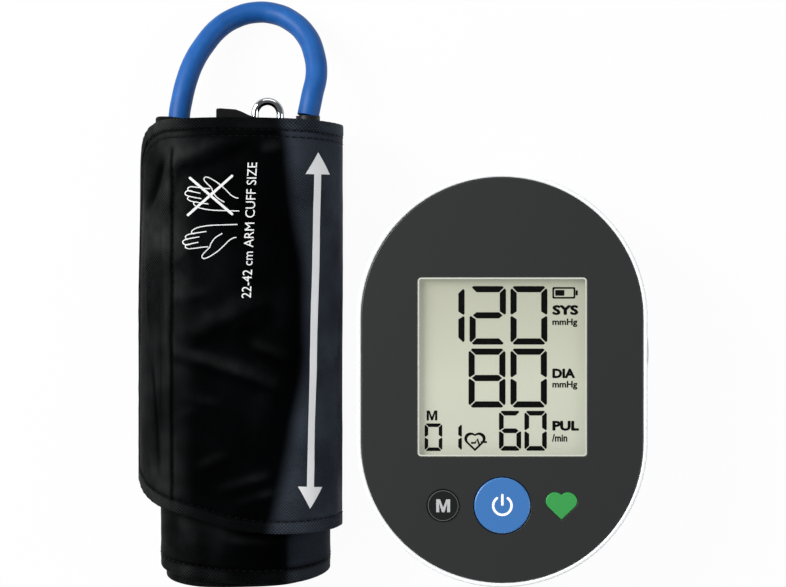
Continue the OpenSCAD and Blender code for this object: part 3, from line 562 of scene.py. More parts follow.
def bold_m(left, low, right, high):
    """The outline of one bold letter M in a rectangle."""
    width, height = right - left, high - low
    stem = 0.22 * width
    half = [(0, 0), (0, height), (1.25 * stem, height), (width / 2, 0.36 * height)]
    inner = [(stem, 0), (0.94 * stem, 0.72 * height), (width / 2 - 0.42 * stem, 0)]
    made = half + [(width - x, y) for x, y in half[2::-1] + inner] + inner[::-1]
    return [(left + x, low + y) for x, y in made]


left_px, top_px, right_px, low_px = MEMORY_PX
memory_m = bold_m(lcd_x(left_px), lcd_y(low_px), lcd_x(right_px), lcd_y(top_px))
memory_label = flat_piece("label_memory", [memory_m], LCD_TOP, LCD_TOP + INK)
wear(memory_label, lcd_ink)
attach(memory_label, "monitor")

# Keys: the blue start key and the small dark memory key are moulded caps on the rubber contact strip, half a
# millimetre proud of the face. Their signs are printed on, and the memory key has a thin grey ring.
KEY_TOP = 42.0
power_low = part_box("power_button")[0][2] / MM
power_cap = flat_piece("power_cap", [circle_line(POWER_R, 0, KEY_ROW)], power_low, KEY_TOP, 0.55, 4)
wear(power_cap, plastic("key_blue_satin", (0.037, 0.142, 0.37), 0.34, 0.15, 0.35 * MM, 0.1))
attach(power_cap, "power_key")
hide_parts("power_button")
ICON_R, ICON_STROKE, ICON_GAP = 3.3, 0.86, 36
key_print = plastic("key_print_white", (0.86, 0.87, 0.88), 0.5, specular=0.3)


def arc_line(radius):
    return circle_line(radius, 0, KEY_ROW, 48, 90 + ICON_GAP, 450 - ICON_GAP)


def arc_tip(angle, first):
    middle = (ICON_R * math.cos(math.radians(angle)), KEY_ROW + ICON_R * math.sin(math.radians(angle)))
    return circle_line(ICON_STROKE / 2, *middle, 8, first, first + 180)[1:-1]


open_ring = arc_line(ICON_R + ICON_STROKE / 2) + arc_tip(90 - ICON_GAP, 90 - ICON_GAP)
open_ring += arc_line(ICON_R - ICON_STROKE / 2)[::-1] + arc_tip(90 + ICON_GAP, ICON_GAP - 90)
power_bar = stadium_line(ICON_STROKE / 2, 1.7, 0, KEY_ROW + 2.1, 12)
power_sign = flat_piece("power_sign", [open_ring, power_bar], KEY_TOP, KEY_TOP + INK)
wear(power_sign, key_print)
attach(power_sign, "power_key")

memory_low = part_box("memory_button")[0][2] / MM
memory_line = circle_line(MEMORY_R, MEMORY_X, KEY_ROW)
memory_cap = flat_piece("memory_cap", [memory_line], memory_low, KEY_TOP, 0.22, 4)
wear(memory_cap, plastic("key_dark_satin", (0.0095, 0.0104, 0.01), 0.38, 0.2, 0.3 * MM, 0, 0.15))
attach(memory_cap, "memory_key")
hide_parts("memory_button")
grey_print = plastic("grey_print", (0.38, 0.39, 0.39), 0.5)
memory_m = bold_m(MEMORY_X - 2.5, KEY_ROW - 2.35, MEMORY_X + 2.5, KEY_ROW + 2.3)
memory_sign = flat_piece("memory_sign", [memory_m], KEY_TOP, KEY_TOP + INK)
wear(memory_sign, grey_print)
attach(memory_sign, "memory_key")
ring_lines = [circle_line(MEMORY_R - inset, MEMORY_X, KEY_ROW) for inset in (0.23, 0.45)]
memory_ring = flat_piece("memory_ring", ring_lines, KEY_TOP, KEY_TOP + 0.02)
wear(memory_ring, plastic("ring_grey", (0.075, 0.078, 0.08), 0.45))
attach(memory_ring, "memory_key")

# Heart: a small light guide of clear green plastic, pressed into the face from behind.
# Its top is rounded and stands just proud, over the green lamp on the board.
HEART_TOP = 41.75
heart_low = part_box("heart_lens")[0][2] / MM
heart_cap = flat_piece("heart_cap", [heart_line(HEART_W, HEART_X, HEART_ROW)], heart_low, HEART_TOP, 0.3, 4)
heart_look = plastic("heart_green_clear", (0.032, 0.235, 0.056), 0.4, 0, 0.4 * MM, 0.05, 0.3)
feed(heart_look.node_tree.nodes["Principled BSDF"],
     {"Emission Color": (0.05, 0.5, 0.1, 1), "Emission Strength": 0.06})
wear(heart_cap, heart_look)
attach(heart_cap, "monitor")
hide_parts("heart_lens")

# Cuff sheet: the cuff is one sewn sheet of black nylon with an air bladder in it, rolled up in three turns.
# Its path is a spiral of straight runs and half rounds; t is the way along it in mm, 0 in the middle on top.
# Every seam, hem, stitch and print below is laid on that path.
ROLL_R, PITCH, ROLL_C, ROLL_MID = 21, 2.4, 15.7, 21
FLAP_R = ROLL_R + PITCH / 2
FLAP_END = -ROLL_C - FLAP_R * math.radians(92)
SHEET_END = 511
BODY_T = ROLL_C + math.pi * ROLL_R - 1.5
LOW_FROM, LOW_RUN, HIGH_FROM, HIGH_RUN = -30, 27, 69, 12
DRAWN_LEFT_LOW, DRAWN_LEFT_HIGH, DRAWN_RIGHT_LOW = 0.15, 0.093, 0.056


def on_roll(t):
    """Place and outward direction on the outer face of the sheet, in mm from the middle of the roll."""
    if t < -ROLL_C:
        angle = (-ROLL_C - t) / FLAP_R
        across, up = -math.sin(angle), math.cos(angle)
        return -ROLL_C + FLAP_R * across, -PITCH / 2 + FLAP_R * up, across, up
    rest = t + ROLL_C
    for turn in range(4):
        outer = ROLL_R - turn * PITCH
        inner = outer - PITCH / 2
        if rest <= 2 * ROLL_C:
            return -ROLL_C + rest, outer, 0, 1
        rest -= 2 * ROLL_C
        if rest <= math.pi * outer:
            across, up = math.sin(rest / outer), math.cos(rest / outer)
            return ROLL_C + outer * across, outer * up, across, up
        rest -= math.pi * outer
        if rest <= 2 * ROLL_C:
            return ROLL_C - rest, -outer, 0, -1
        rest -= 2 * ROLL_C
        if rest <= math.pi * inner:
            across, up = -math.sin(rest / inner), -math.cos(rest / inner)
            return -ROLL_C + inner * across, -PITCH / 2 + inner * up, across, up
        rest -= math.pi * inner


def smooth(share):
    share = max(0.0, min(1.0, share))
    return share * share * (3 - 2 * share)


def at_sheet(t, y, out):
    """A point of the sheet, out mm off its outer face. The inner turns are drawn in a little at both ends."""
    across, up, side, rise = on_roll(t)
    across += side * out
    up += rise * out
    if t >= BODY_T:
        low, high = smooth((LOW_FROM - y) / LOW_RUN), smooth((y - HIGH_FROM) / HIGH_RUN)
        across *= 1 - (DRAWN_LEFT_LOW * low + DRAWN_LEFT_HIGH * high if across < 0 else DRAWN_RIGHT_LOW * low)
    return Vector((roll_x + across * MM, y * MM, (ROLL_MID + up) * MM))


def curve_through(points):
    """A smooth line through points, as a function."""
    slopes = []
    for i in range(len(points)):
        a, b = points[max(0, i - 1)], points[min(len(points) - 1, i + 1)]
        slopes.append((b[1] - a[1]) / (b[0] - a[0]))

    def value(x):
        if x <= points[0][0]:
            return points[0][1]
        for i in range(len(points) - 1):
            (x0, y0), (x1, y1) = points[i], points[i + 1]
            if x <= x1:
                run = x1 - x0
                s = (x - x0) / run
                return ((2 * s ** 3 - 3 * s ** 2 + 1) * y0 + (s ** 3 - 2 * s ** 2 + s) * run * slopes[i]
                        + (3 * s ** 2 - 2 * s ** 3) * y1 + (s ** 3 - s ** 2) * run * slopes[i + 1])
        return points[-1][1]
    return value


def ripple(t, y, length, seed):
    """Unevenness of the cloth, from -1 to 1, with waves of about this length."""
    return noise.noise(Vector((t / length, y / length, seed)))


def from_photo(px, py):
    """The place (t, y) on the flap whose image is at this pixel."""
    height = 2 * ROLL_R
    for _ in range(4):
        scale = PIXEL * (CAMERA_HEIGHT + FACE_HIGH - height) / CAMERA_HEIGHT
        across = CAMERA_X + (px - IMAGE_MIDDLE[0]) * scale - roll_x / MM
        if across > ROLL_C:
            t = ROLL_C + ROLL_R * math.asin(min(0.999, (across - ROLL_C) / ROLL_R))
        elif across < -ROLL_C:
            t = -ROLL_C - FLAP_R * math.asin(min(0.999, (-ROLL_C - across) / FLAP_R))
        else:
            t = across
        height = ROLL_MID + on_roll(t)[1]
    return t, CAMERA_Y - (py - IMAGE_MIDDLE[1]) * scale


# Fabrics: fine black nylon with a plain weave of 0.8 mm, a twilled binding tape, and a brushed loop pile.
# The cloth carries painted sheen over the round sides of the roll: grey on the left, dark blue on the right.
GREY_SHEEN_AND_WEAR, BLUE_SHEEN = (0.0132, 0.0144, 0.0142), (0.031, 0.038, 0.05)
THREAD_SCALE = 0.314


def fabric(name, dark, light, pitch, bump_depth, roughness, sheen, ribbed=False):
    """Woven cloth: threads both ways by the piece's own flat map, with slubs, fade, a little sheen, and the
    painted sheen and edge wear of its attribute.
    """
    look = bpy.data.materials.new(name)
    look.use_nodes = True
    tree = look.node_tree
    sheet_map = add_node(tree, "UVMap")
    turn = math.radians(-45 if ribbed else 38)
    flat = add_node(tree, "Mapping", {"Vector": sheet_map.outputs["UV"], "Rotation": (0, 0, turn)})
    on_cloth = {"Vector": flat.outputs["Vector"]}
    threads = []
    for way in ("X", "Y"):
        wave = add_node(tree, "TexWave", {**on_cloth, "Scale": THREAD_SCALE / (pitch * MM), "Distortion": 0.6,
                                          "Detail": 1})
        wave.bands_direction = way
        threads.append(wave.outputs["Fac"])
    weave = add_node(tree, "Math", {0: threads[0], 1: threads[1]}, "MULTIPLY").outputs[0]
    slub = add_node(tree, "TexNoise", {**on_cloth, "Scale": 900, "Detail": 3})
    fade = add_node(tree, "TexNoise", {**on_cloth, "Scale": 38, "Detail": 3})
    speck = add_node(tree, "Math", {0: weave, 1: slub.outputs["Fac"], 2: fade.outputs["Fac"]}, "MULTIPLY_ADD")
    tint = add_node(tree, "ValToRGB", {"Fac": speck.outputs[0]})
    darker, paler = tint.color_ramp.elements
    darker.position, darker.color = 0.35, (*dark, 1)
    paler.position, paler.color = 1.0, (*light, 1)
    sheen_and_wear_input = add_node(tree, "Attribute")
    sheen_and_wear_input.attribute_name = "painted_sheen_and_wear"
    sides = add_node(tree, "SeparateColor", {"Color": sheen_and_wear_input.outputs["Color"]})
    # Painted sheen: the attribute's grey and blue are added to the cloth, strongest on the weave specks as
    # painted glints; the grey also holds wear on bound edges.
    shade = tint.outputs["Color"]
    for side, grey, strong, base in (("Red", GREY_SHEEN_AND_WEAR, 3.6, -1.7), ("Green", BLUE_SHEEN, 1.3, -0.25)):
        grain = add_node(tree, "Math", {0: speck.outputs[0], 1: strong, 2: base}, "MULTIPLY_ADD")
        grain.use_clamp = True
        share = add_node(tree, "Math", {0: sides.outputs[side], 1: grain.outputs[0]}, "MULTIPLY")
        sheen_and_wear_added = add_node(tree, "VectorMath", {0: grey, "Scale": share.outputs[0]}, "SCALE")
        shade = add_node(tree, "VectorMath", {0: shade, 1: sheen_and_wear_added.outputs[0]}, "ADD").outputs[0]
    bump = add_node(tree, "Bump", {"Height": weave, "Strength": 0.8, "Distance": bump_depth * MM})
    feed(tree.nodes["Principled BSDF"], {
        "Base Color": shade, "Roughness": roughness, "Specular IOR Level": 0.008, "Sheen Weight": sheen,
        "Sheen Roughness": 0.45, "Sheen Tint": (0.62, 0.66, 0.72, 1), "Normal": bump.outputs["Normal"]})
    return look


nylon_black = fabric("black_nylon", (0, 0, 0.0001), (0.0006, 0.0008, 0.001), 0.78, 0.09, 0.45, 0.0)
binding_black = fabric("binding_tape", (0, 0.0001, 0.0001), (0.0018, 0.0021, 0.0024), 0.9, 0.1, 0.45, 0.0,
                       ribbed=True)
loop_black = fabric("loop_pile", (0.0015, 0.0015, 0.0017), (0.007, 0.007, 0.0078), 1.1, 0.3, 0.8, 0.06)
thread_black = plastic("sewing_thread", (0.0006, 0.0006, 0.0007), 0.5, 0.3, 0.2 * MM, 0, 0.06)


def sew_sheet(name, ts, rows_at, face, sheen_and_wear_of, half, looks, look_of):
    """A closed sheet of cloth over the columns ts and their rows, with rounded edges and a flat UV map."""
    outer, inner, flat, edge = [], [], [], []
    for t in ts:
        for y in rows_at(t):
            lift, d = face(t, y)
            turn_in = half - math.sqrt(max(0.0, half * half - max(0.0, half - d) ** 2))
            outer.append(at_sheet(t, y, lift - turn_in))
            inner.append(at_sheet(t, y, min(lift, 0.2) - 2 * half + turn_in))
            flat.append((t * MM, y * MM))
            edge.append(d)
    count = len(outer)
    rows = count // len(ts)
    faces, looks_used = [], []
    for i in range(len(ts) - 1):
        for j in range(rows - 1):
            a, b = i * rows + j, (i + 1) * rows + j
            faces.append((a, a + 1, b + 1, b))
            looks_used.append(look_of(ts[i], edge[a], flat[a][1] / MM))
            faces.append((a + count, b + count, b + 1 + count, a + 1 + count))
            looks_used.append(0)
    for i in range(len(ts) - 1):
        a, b = i * rows, (i + 1) * rows
        faces.append((a, b, b + count, a + count))
        faces.append((a + rows - 1, a + rows - 1 + count, b + rows - 1 + count, b + rows - 1))
        looks_used += [len(looks) - 1] * 2
    last = (len(ts) - 1) * rows
    for j in range(rows - 1):
        faces.append((j, j + count, j + 1 + count, j + 1))
        faces.append((last + j, last + j + 1, last + j + 1 + count, last + j + count))
        looks_used += [len(looks) - 1] * 2
    mesh = bpy.data.meshes.new(name)
    mesh.from_pydata(outer + inner, [], faces)
    uv = mesh.uv_layers.new(name="flat")
    flat += flat
    for loop in mesh.loops:
        uv.data[loop.index].uv = flat[loop.vertex_index]
    # Painted sheen and wear for each point: grey in red, blue in green.
    painted_sheen_and_wear = mesh.color_attributes.new("painted_sheen_and_wear", "FLOAT_COLOR", "POINT")
    for i in range(count):
        grey, blue = sheen_and_wear_of(flat[i][0] / MM, flat[i][1] / MM, edge[i])
        painted_sheen_and_wear.data[i].color = painted_sheen_and_wear.data[i + count].color = (grey, blue, 0, 1)
    for look in looks:
        mesh.materials.append(look)
    for polygon, used in zip(mesh.polygons, looks_used):
        polygon.material_index = used
        polygon.use_smooth = True
    piece = bpy.data.objects.new(name, mesh)
    bpy.context.scene.collection.objects.link(piece)
    return piece


# Flap: the outer end of the sheet, over the top of the roll and down its right side, held by its hook patch.
# A row of stitches follows its bound edges, a second one the top hem, and one the seam near the free end.
flap_top = curve_through([(-24, 81.2), (-12, 81.6), (0, 81.7), (20, 81.2), (48, 79.6), (84, 79.4)])
flap_low = curve_through([(-45, -51), (-42, -53), (-38.5, -55), (-34, -57.2), (-30, -58.8), (-17, -62.6),
                          (-5.4, -66.2), (6.5, -68.1), (18.4, -68.4), (34.7, -67.4), (46, -66.4), (84, -66)])
FLAP_FAR, EDGE_STEP = 84, 0.6
CORNER_LOW, CORNER_LOW_RISE = 8, 7
CORNER_HIGH, CORNER_HIGH_DROP = 26, 24
SEAM_T = -25
BINDING, HEM_ROW, UPPER_ROW = 4.2, 4.4, 6.7
FLAP_HALF, FLAP_STEPS, HINGE_HALF = 0.66, 117, 4


def corner_round(t, reach):
    """How far a corner is rounded off at t: 0 where it starts, 1 at the free end."""
    return 1 - math.sqrt(max(0.0, 1 - (max(0.0, FLAP_END + reach - t) / reach) ** 2))


def upper_edge(t):
    return t, flap_top(t) - CORNER_HIGH_DROP * corner_round(t, CORNER_HIGH)


def lower_edge(t):
    return t, flap_low(t) + CORNER_LOW_RISE * corner_round(t, CORNER_LOW)


high_start, low_start = FLAP_END + CORNER_HIGH, FLAP_END + CORNER_LOW
bends = [math.sin(math.radians(2 * i)) for i in range(46)]
upper_ts = [FLAP_FAR - EDGE_STEP * i for i in range(200)]
lower_ts = [low_start + EDGE_STEP * i for i in range(1, 200)]
outline = [upper_edge(t) for t in upper_ts if t > high_start]
outline += [upper_edge(high_start - CORNER_HIGH * bend) for bend in bends]
side_high, side_low = upper_edge(FLAP_END)[1], lower_edge(FLAP_END)[1]
outline += [(FLAP_END, side_high + (side_low - side_high) * i / 160) for i in range(1, 160)]
outline += [lower_edge(low_start - CORNER_LOW * bend) for bend in reversed(bends)]
outline += [lower_edge(t) for t in lower_ts if t < FLAP_FAR]
edge_tree = kdtree.KDTree(len(outline))
for i, (t, y) in enumerate(outline):
    edge_tree.insert((t, y, 0), i)
edge_tree.balance()

# Soft folds seen in the photograph: two ends in pixels, half width and height in mm.
FOLDS = [
    (178, 163, 236, 139, 3.5, 0.8), (180, 337, 250, 306, 4.5, 0.75), (180, 352, 256, 377, 3.2, 0.7),
    (258, 347, 284, 357, 2.6, 0.7), (226, 489, 262, 478, 2, 0.6), (244, 503, 272, 494, 1.8, 0.5),
    (202, 467, 224, 457, 2, 0.6), (186, 398, 214, 403, 2.4, 0.35), (236, 330, 262, 318, 2.4, 0.35),
    (151, 370, 157, 457, 1.6, -0.6), (149, 200, 160, 165, 2, -0.8), (160, 215, 175, 160, 3, 0.5),
    (262, 420, 285, 300, 7, 0.15), (190, 420, 200, 300, 6, 0.12), (146, 250, 148, 330, 1.4, 0.4),
    (158, 300, 160, 420, 1.2, -0.4), (163, 240, 166, 330, 1.2, 0.35), (150, 395, 153, 470, 1.2, 0.4),
    (176, 262, 190, 246, 1.6, 0.3), (177, 300, 204, 292, 2, 0.3), (178, 418, 200, 408, 2, 0.3),
    (265, 150, 279, 146, 3, 0.35), (178, 168, 222, 146, 2, -0.5),
]
FOLDS = [(*from_photo(x0, y0), *from_photo(x1, y1), wide, high) for x0, y0, x1, y1, wide, high in FOLDS]


def groove(off, width):
    """A soft bell of height 1 over a line, for what lies off mm to one side of it."""
    return math.exp(-(off / width) ** 2)


def folds(t, y):
    """Height of the folds here, and the light and shade painted on their faces: paler on top, dark on the
    steep side below.
    """
    made = light = 0
    for t0, y0, t1, y1, wide, high in FOLDS:
        run_t, run_y = t1 - t0, y1 - y0
        length = math.hypot(run_t, run_y)
        along = ((t - t0) * run_t + (y - y0) * run_y) / length
        off = ((t - t0) * run_y - (y - y0) * run_t) / length
        if abs(off) < 3 * wide and -0.4 * length < along < 1.4 * length:
            fade = 0.6 * length
            ends = smooth((along + 0.4 * length) / fade) * smooth((1.4 * length - along) / fade)
            steep = 0.55 * wide if off > 0 and high > 0 else wide
            made += high * groove(off, steep) * ends
            light += high * ends * groove(off + 0.25 * wide, 0.8 * wide)
            if high > 0:
                light -= 0.8 * high * ends * groove(off - wide, 0.55 * wide)
    return made, light


def seam_share(y):
    """The seam near the free end fades out before it meets the hems."""
    return smooth((y + 60) / 8) * smooth((73 - y) / 6)


def flap_face(t, y):
    """How far the flap's face stands off the plain roll, and the distance to its edge."""
    d = edge_tree.find((t, y, 0))[2]
    inside = smooth((d - 5) / 6)
    side, rise = on_roll(t)[2:]
    lift = 0.35 * (1 - smooth((d - 3.7) / 0.8)) - 0.3 * groove(d - HEM_ROW, 0.5)
    lift += 0.14 * ripple(t * 2, y * 2, 9, 1) * groove(d - HEM_ROW, 2.2)
    if y > 0:
        lift -= 0.3 * groove(d - UPPER_ROW, 0.45)
    lift -= seam_share(y) * groove(t - SEAM_T, 0.6)
    lift += seam_share(y) * 0.3 * ripple(0, y * 2, 8, 3) * groove(t - SEAM_T, 4)
    lift += inside * (0.5 * ripple(t, y, 24, 5) + 0.22 * ripple(t * 1.4, y, 9, 7) + 1.5 * folds(t, y)[0])
    lift -= 0.9 * smooth((y - 15) / 45) * smooth((-side - 0.2) / 0.5)
    lift -= 0.7 * smooth((25 - y) / 50) * smooth((side - 0.3) / 0.5)
    return lift * smooth((rise + 0.2) / 0.4), d


def flap_sheen_and_wear(t, y, d):
    """Painted sheen of the flap's cloth, grey and blue: most on the round sides, light and shade painted on
    the folds, bound edges paler from wear, painted shade in the seam and stitch rows.
    """
    fold_light_and_shade = folds(t, y)[1]
    # Painted sheen: paler to the left and towards the top, and most on the left-facing round side.
    grey = 0.2 * smooth((16 - t) / 32) * (0.35 + 0.65 * smooth((y + 10) / 50))
    grey += smooth((0.02 - on_roll(t)[2]) / 0.5)
    # Painted light on the fold crests and painted shade below them; the bound edge is paler with wear.
    grey = (grey + 0.75 * max(0.0, fold_light_and_shade)) * (1 + max(-0.9, min(0.0, 1.6 * fold_light_and_shade)))
    grey += 0.2 * smooth((BINDING - d) / 0.8)
    grey *= 1 + 0.5 * ripple(t, y, 11, 13) + 0.4 * ripple(t * 2, y, 4, 15)
    # Painted shade in the seam and stitch rows holds the painted sheen back there.
    dark = 0.95 * seam_share(y) * groove(t - SEAM_T, 0.75) + 0.7 * groove(d - HEM_ROW, 0.6)
    if y > 0:
        dark += 0.6 * groove(d - UPPER_ROW, 0.5)
    kept = max(0.0, 1 - dark)
    # Painted blue sheen over the right round side.
    blue = smooth((t - 21 + 8.8 * ((y - 12.3) / 65) ** 2 + 2.5 * ripple(t, y, 30, 23)) / 6)
    blue *= (1 + 0.7 * smooth((t - 30) / 18)) * (1 + 0.25 * ripple(t, y, 14, 17)) * (0.5 + 0.5 * kept)
    return max(0.0, grey) * kept, blue


NEAR_EDGE = [0, 0.12, 0.35, 0.7, 1.1, 1.6, 2.2, 2.9, 3.5, 4.0, HEM_ROW, 4.8, 5.4, 6.1, UPPER_ROW, 7.3]


def rows_between(high, low, count):
    """Rows from one hem to the other, close together near both and count even steps in between."""
    near = NEAR_EDGE[-1]
    span = high - low - 2 * near
    return ([high - s for s in NEAR_EDGE] + [high - near - span * i / count for i in range(1, count)]
            + [low + s for s in reversed(NEAR_EDGE)])


flap_ts = [FLAP_END + s for s in NEAR_EDGE + [NEAR_EDGE[-1] + i for i in range(1, 126)]]
flap_ts = [t for t in flap_ts if t < BODY_T and abs(t - SEAM_T) > 1.9]
flap_ts = sorted(flap_ts + [SEAM_T + 0.4 * i for i in range(-4, 5)])


def flap_rows(t):
    return rows_between(upper_edge(t)[1], lower_edge(t)[1], FLAP_STEPS)


def flap_look(t, d, y):
    return 1 if d < BINDING else 0


cuff_flap = sew_sheet("cuff_flap", flap_ts, flap_rows, flap_face, flap_sheen_and_wear, FLAP_HALF,
                      [nylon_black, binding_black], flap_look)
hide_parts("outer_flap", "flap_binding")
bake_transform(cuff_flap)

# Rolled body: the rest of the sheet under the flap, two more turns to the core. Each turn sits further down
# than the one outside it, so its bound lower hem shows. A patch of loop pile for the hook is under the flap.
T_LEFT0, T_TOP1, T_RIGHT1, T_LEFT1, T_TOP2, T_RIGHT2 = 113.1, 175.3, 206.7, 296.5, 351.2, 382.6
BODY_HEM, BODY_HALF, BODY_STEPS, BODY_COLUMN = 5, 0.98, 67, 1.75
LOOP_LOW, LOOP_HIGH = 0.2, 0.86
body_top = curve_through([(80, 79.6), (113, 81.4), (150, 82.8), (176, 79.6), (192, 70), (207, 65.4),
                          (300, 64), (352, 61), (511, 60.7)])
body_low = curve_through([(80, -66), (113, -73), (144, -80.6), (160, -83.4), (176, -85.6), (191, -86.8),
                          (201, -86.9), (214, -86), (236, -82.4), (265, -81), (300, -81.6), (324, -84.8),
                          (340, -87), (352, -88), (367, -88), (383, -87.2), (408, -83.6), (440, -84),
                          (511, -86)])


def body_face(t, y):
    """How far the body's face stands off the plain roll, and the distance to its edge."""
    low_d = y - body_low(t)
    d = min(body_top(t) - y, low_d, 200 if t < SHEET_END - 20 else SHEET_END - t)
    lift = -0.3 * (1 - smooth((d - 3) / 3)) - 0.25 * groove(low_d - BODY_HEM, 0.5)
    lift += 0.25 * ripple(t * 1.6, y * 2, 10, 2) * groove(low_d - BODY_HEM, 3)
    lift += smooth((d - 4) / 5) * (0.3 * ripple(t, y, 22, 9) + 0.15 * ripple(t, y * 1.5, 8, 4) - 0.25)
    if T_TOP1 < t < T_RIGHT1:
        ridge = groove(y + 72.3 - 0.02 * (t - 191), 1.3)
        lift += 0.7 * ridge * smooth((t - 178) / 8) * smooth((206 - t) / 6)
    under = smooth((on_roll(t)[3] + 0.6) / 0.4)
    return (lift * under if lift > 0 else lift), d


def body_sheen_and_wear(t, y, d):
    """Painted sheen of the body's cloth, grey and blue, most on its round sides and a ridge, with its lower
    hems paler from wear and painted shade along their stitch rows.
    """
    side = on_roll(t)[2]
    low_d = y - body_low(t)
    # Painted shade along the stitch row of the lower hem.
    kept = 1 - 0.85 * groove(low_d - 5.2, 0.9)
    # Painted sheen on the left-facing round side; the lower hem is paler with wear.
    grey = 0.5 * smooth((0.02 - side) / 0.5) + 0.3 * smooth((BODY_HEM - low_d) / 1.5)
    # Painted sheen towards the left end of each inner turn's top.
    for start, end in ((T_TOP1, T_RIGHT1), (T_TOP2, T_RIGHT2)):
        if start - 12 < t < end:
            grey += 0.3 * smooth((start + 18 - t) / 12)
    # Painted highlight on the ridge near the lower hem.
    grey += 0.4 * groove(y + 71.3, 1.1) * smooth((t - 180) / 6) * smooth((207 - t) / 6)
    grey *= 1 + 0.6 * ripple(t, y, 7, 19) + 0.5 * ripple(t * 0.4, y * 2, 4, 21)
    # Painted blue sheen on the right-facing round side.
    return max(0.0, grey) * kept, 0.6 * smooth((side - 0.05) / 0.2) * kept


def body_look(t, d, y):
    share = (y - body_low(t)) / (body_top(t) - body_low(t))
    if T_TOP1 - 6 < t < T_RIGHT1 + 4 and LOOP_LOW < share < LOOP_HIGH:
        return 2
    return 1 if d < BODY_HEM else 0


def body_rows(t):
    return rows_between(body_top(t), body_low(t), BODY_STEPS)


body_ts = [BODY_T + 0.3 + BODY_COLUMN * i for i in range(250)]
body_ts = [t for t in body_ts if t < SHEET_END]
cuff_body = sew_sheet("cuff_body", body_ts, body_rows, body_face, body_sheen_and_wear, BODY_HALF,
                      [nylon_black, binding_black, loop_black], body_look)
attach(cuff_body, "cuff")
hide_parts("outer_cover", "inner_cover", "lining", "loop_panel", "edge_binding", "air_bladder")

# Stitches: lock stitches of black thread, 2.1 mm long at a pitch of 2.9 mm, sunk into the cloth.
# They follow the hems and the seam of the flap and the two lower hems of the body that show.
STITCH, STITCH_PITCH, THREAD = 2.1, 2.9, 0.24
THREAD_SIDES = 6
SEAM_TOP, LINE_STEP = 70, 1.5


def stitch_places(line):
    """Places along a line of (t, y) points, one pitch apart, each with the line's direction there."""
    reach, kept = 0.0, 0.0
    for (t0, y0), (t1, y1) in zip(line, line[1:]):
        length = math.hypot(t1 - t0, y1 - y0)
        while kept <= reach + length and length > 0:
            share = (kept - reach) / length
            yield (t0 + (t1 - t0) * share, y0 + (y1 - y0) * share,
                   (t1 - t0) / length, (y1 - y0) / length)
            kept += STITCH_PITCH
        reach += length


def stitches(name, lines, face):
    """Small round stitches along lines of (t, y) points, laid on a sheet's face."""
    verts, faces = [], []
    for t, y, way_t, way_y in [place for line in lines for place in stitch_places(line)]:
        spine = []
        for side, sunk in ((-0.5, 0.3), (-0.3, 0.1), (0.3, 0.1), (0.5, 0.3)):
            pt, py = t + way_t * STITCH * side, y + way_y * STITCH * side
            spine.append(at_sheet(pt, py, face(pt, py)[0] - sunk + 0.12))
        axis = (spine[3] - spine[0]).normalized()
        out = (at_sheet(t, y, 1) - at_sheet(t, y, 0)).normalized()
        cross = axis.cross(out)
        first = len(verts)
        for place, share in zip(spine, (0.5, 1, 1, 0.5)):
            for n in range(THREAD_SIDES):
                a = n * 2 * math.pi / THREAD_SIDES
                verts.append(place + (out * math.cos(a) + cross * math.sin(a)) * (THREAD * MM * share))
        for ring in range(first, first + 3 * THREAD_SIDES, THREAD_SIDES):
            for n in range(THREAD_SIDES):
                a, b = ring + n, ring + (n + 1) % THREAD_SIDES
                faces.append((a, b, b + THREAD_SIDES, a + THREAD_SIDES))
        faces.append([first + n for n in reversed(range(THREAD_SIDES))])
        faces.append([first + 3 * THREAD_SIDES + n for n in range(THREAD_SIDES)])
    mesh = bpy.data.meshes.new(name)
    mesh.from_pydata(verts, [], faces)
    mesh.materials.append(thread_black)
    for polygon in mesh.polygons:
        polygon.use_smooth = True
    piece = bpy.data.objects.new(name, mesh)
    bpy.context.scene.collection.objects.link(piece)
    return piece


def inset_line(line, by):
    """A line of (t, y) points moved inwards by so many mm."""
    made = []
    for i in range(1, len(line) - 1):
        (t0, y0), (t1, y1) = line[i - 1], line[i + 1]
        length = math.hypot(t1 - t0, y1 - y0) or 1
        made.append((line[i][0] - (y1 - y0) / length * by, line[i][1] + (t1 - t0) / length * by))
    return made


upper_line = [p for p in inset_line(outline, UPPER_ROW) if p[1] > 55 and p[0] > FLAP_END + 3]
hem_line = inset_line(outline, HEM_ROW)
seam_line = [(SEAM_T, SEAM_TOP - LINE_STEP * i) for i in range(84)]
flap_stitches = stitches("flap_stitches", [hem_line, upper_line, seam_line], flap_face)
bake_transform(flap_stitches)
body_lines = []
for start, count in ((T_LEFT0 + 8, 88), (T_LEFT1 + 8, 80)):
    ts = [start + LINE_STEP * i for i in range(count)]
    body_lines.append([(t, body_low(t) + BODY_HEM) for t in ts])
body_stitches = stitches("body_stitches", body_lines, body_face)
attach(body_stitches, "cuff")

# Prints: white screen print on the flap, placed by pixels of the photograph. A double arrow shows the width,
# two plain hands show which palm side is up, the wrong one crossed out, and a line of figures the arm size.
ARROW_TOP, ARROW_LOW = (318.3, 152.3), (310.0, 508.8)
ARROW_HEAD, ARROW_HEAD_HALF, ARROW_HALF = 22, 12.5, 3.6
HAND_OPEN, HAND_BACK = (182, 239.5), (184, 196)
HAND_LINE, CROSS_LINE = 1.0, 2.5
TEXT_START, TEXT_HEIGHT, TEXT_RUN = (251, 298), 9.6, (6.2, 135.5)
PRINT_LIFT, PRINT_STEP_T, PRINT_STEP_Y = 0.07, 1.0, 1.6
white_print = plastic("white_print", (0.61, 0.605, 0.605), 0.55, specular=0.3)


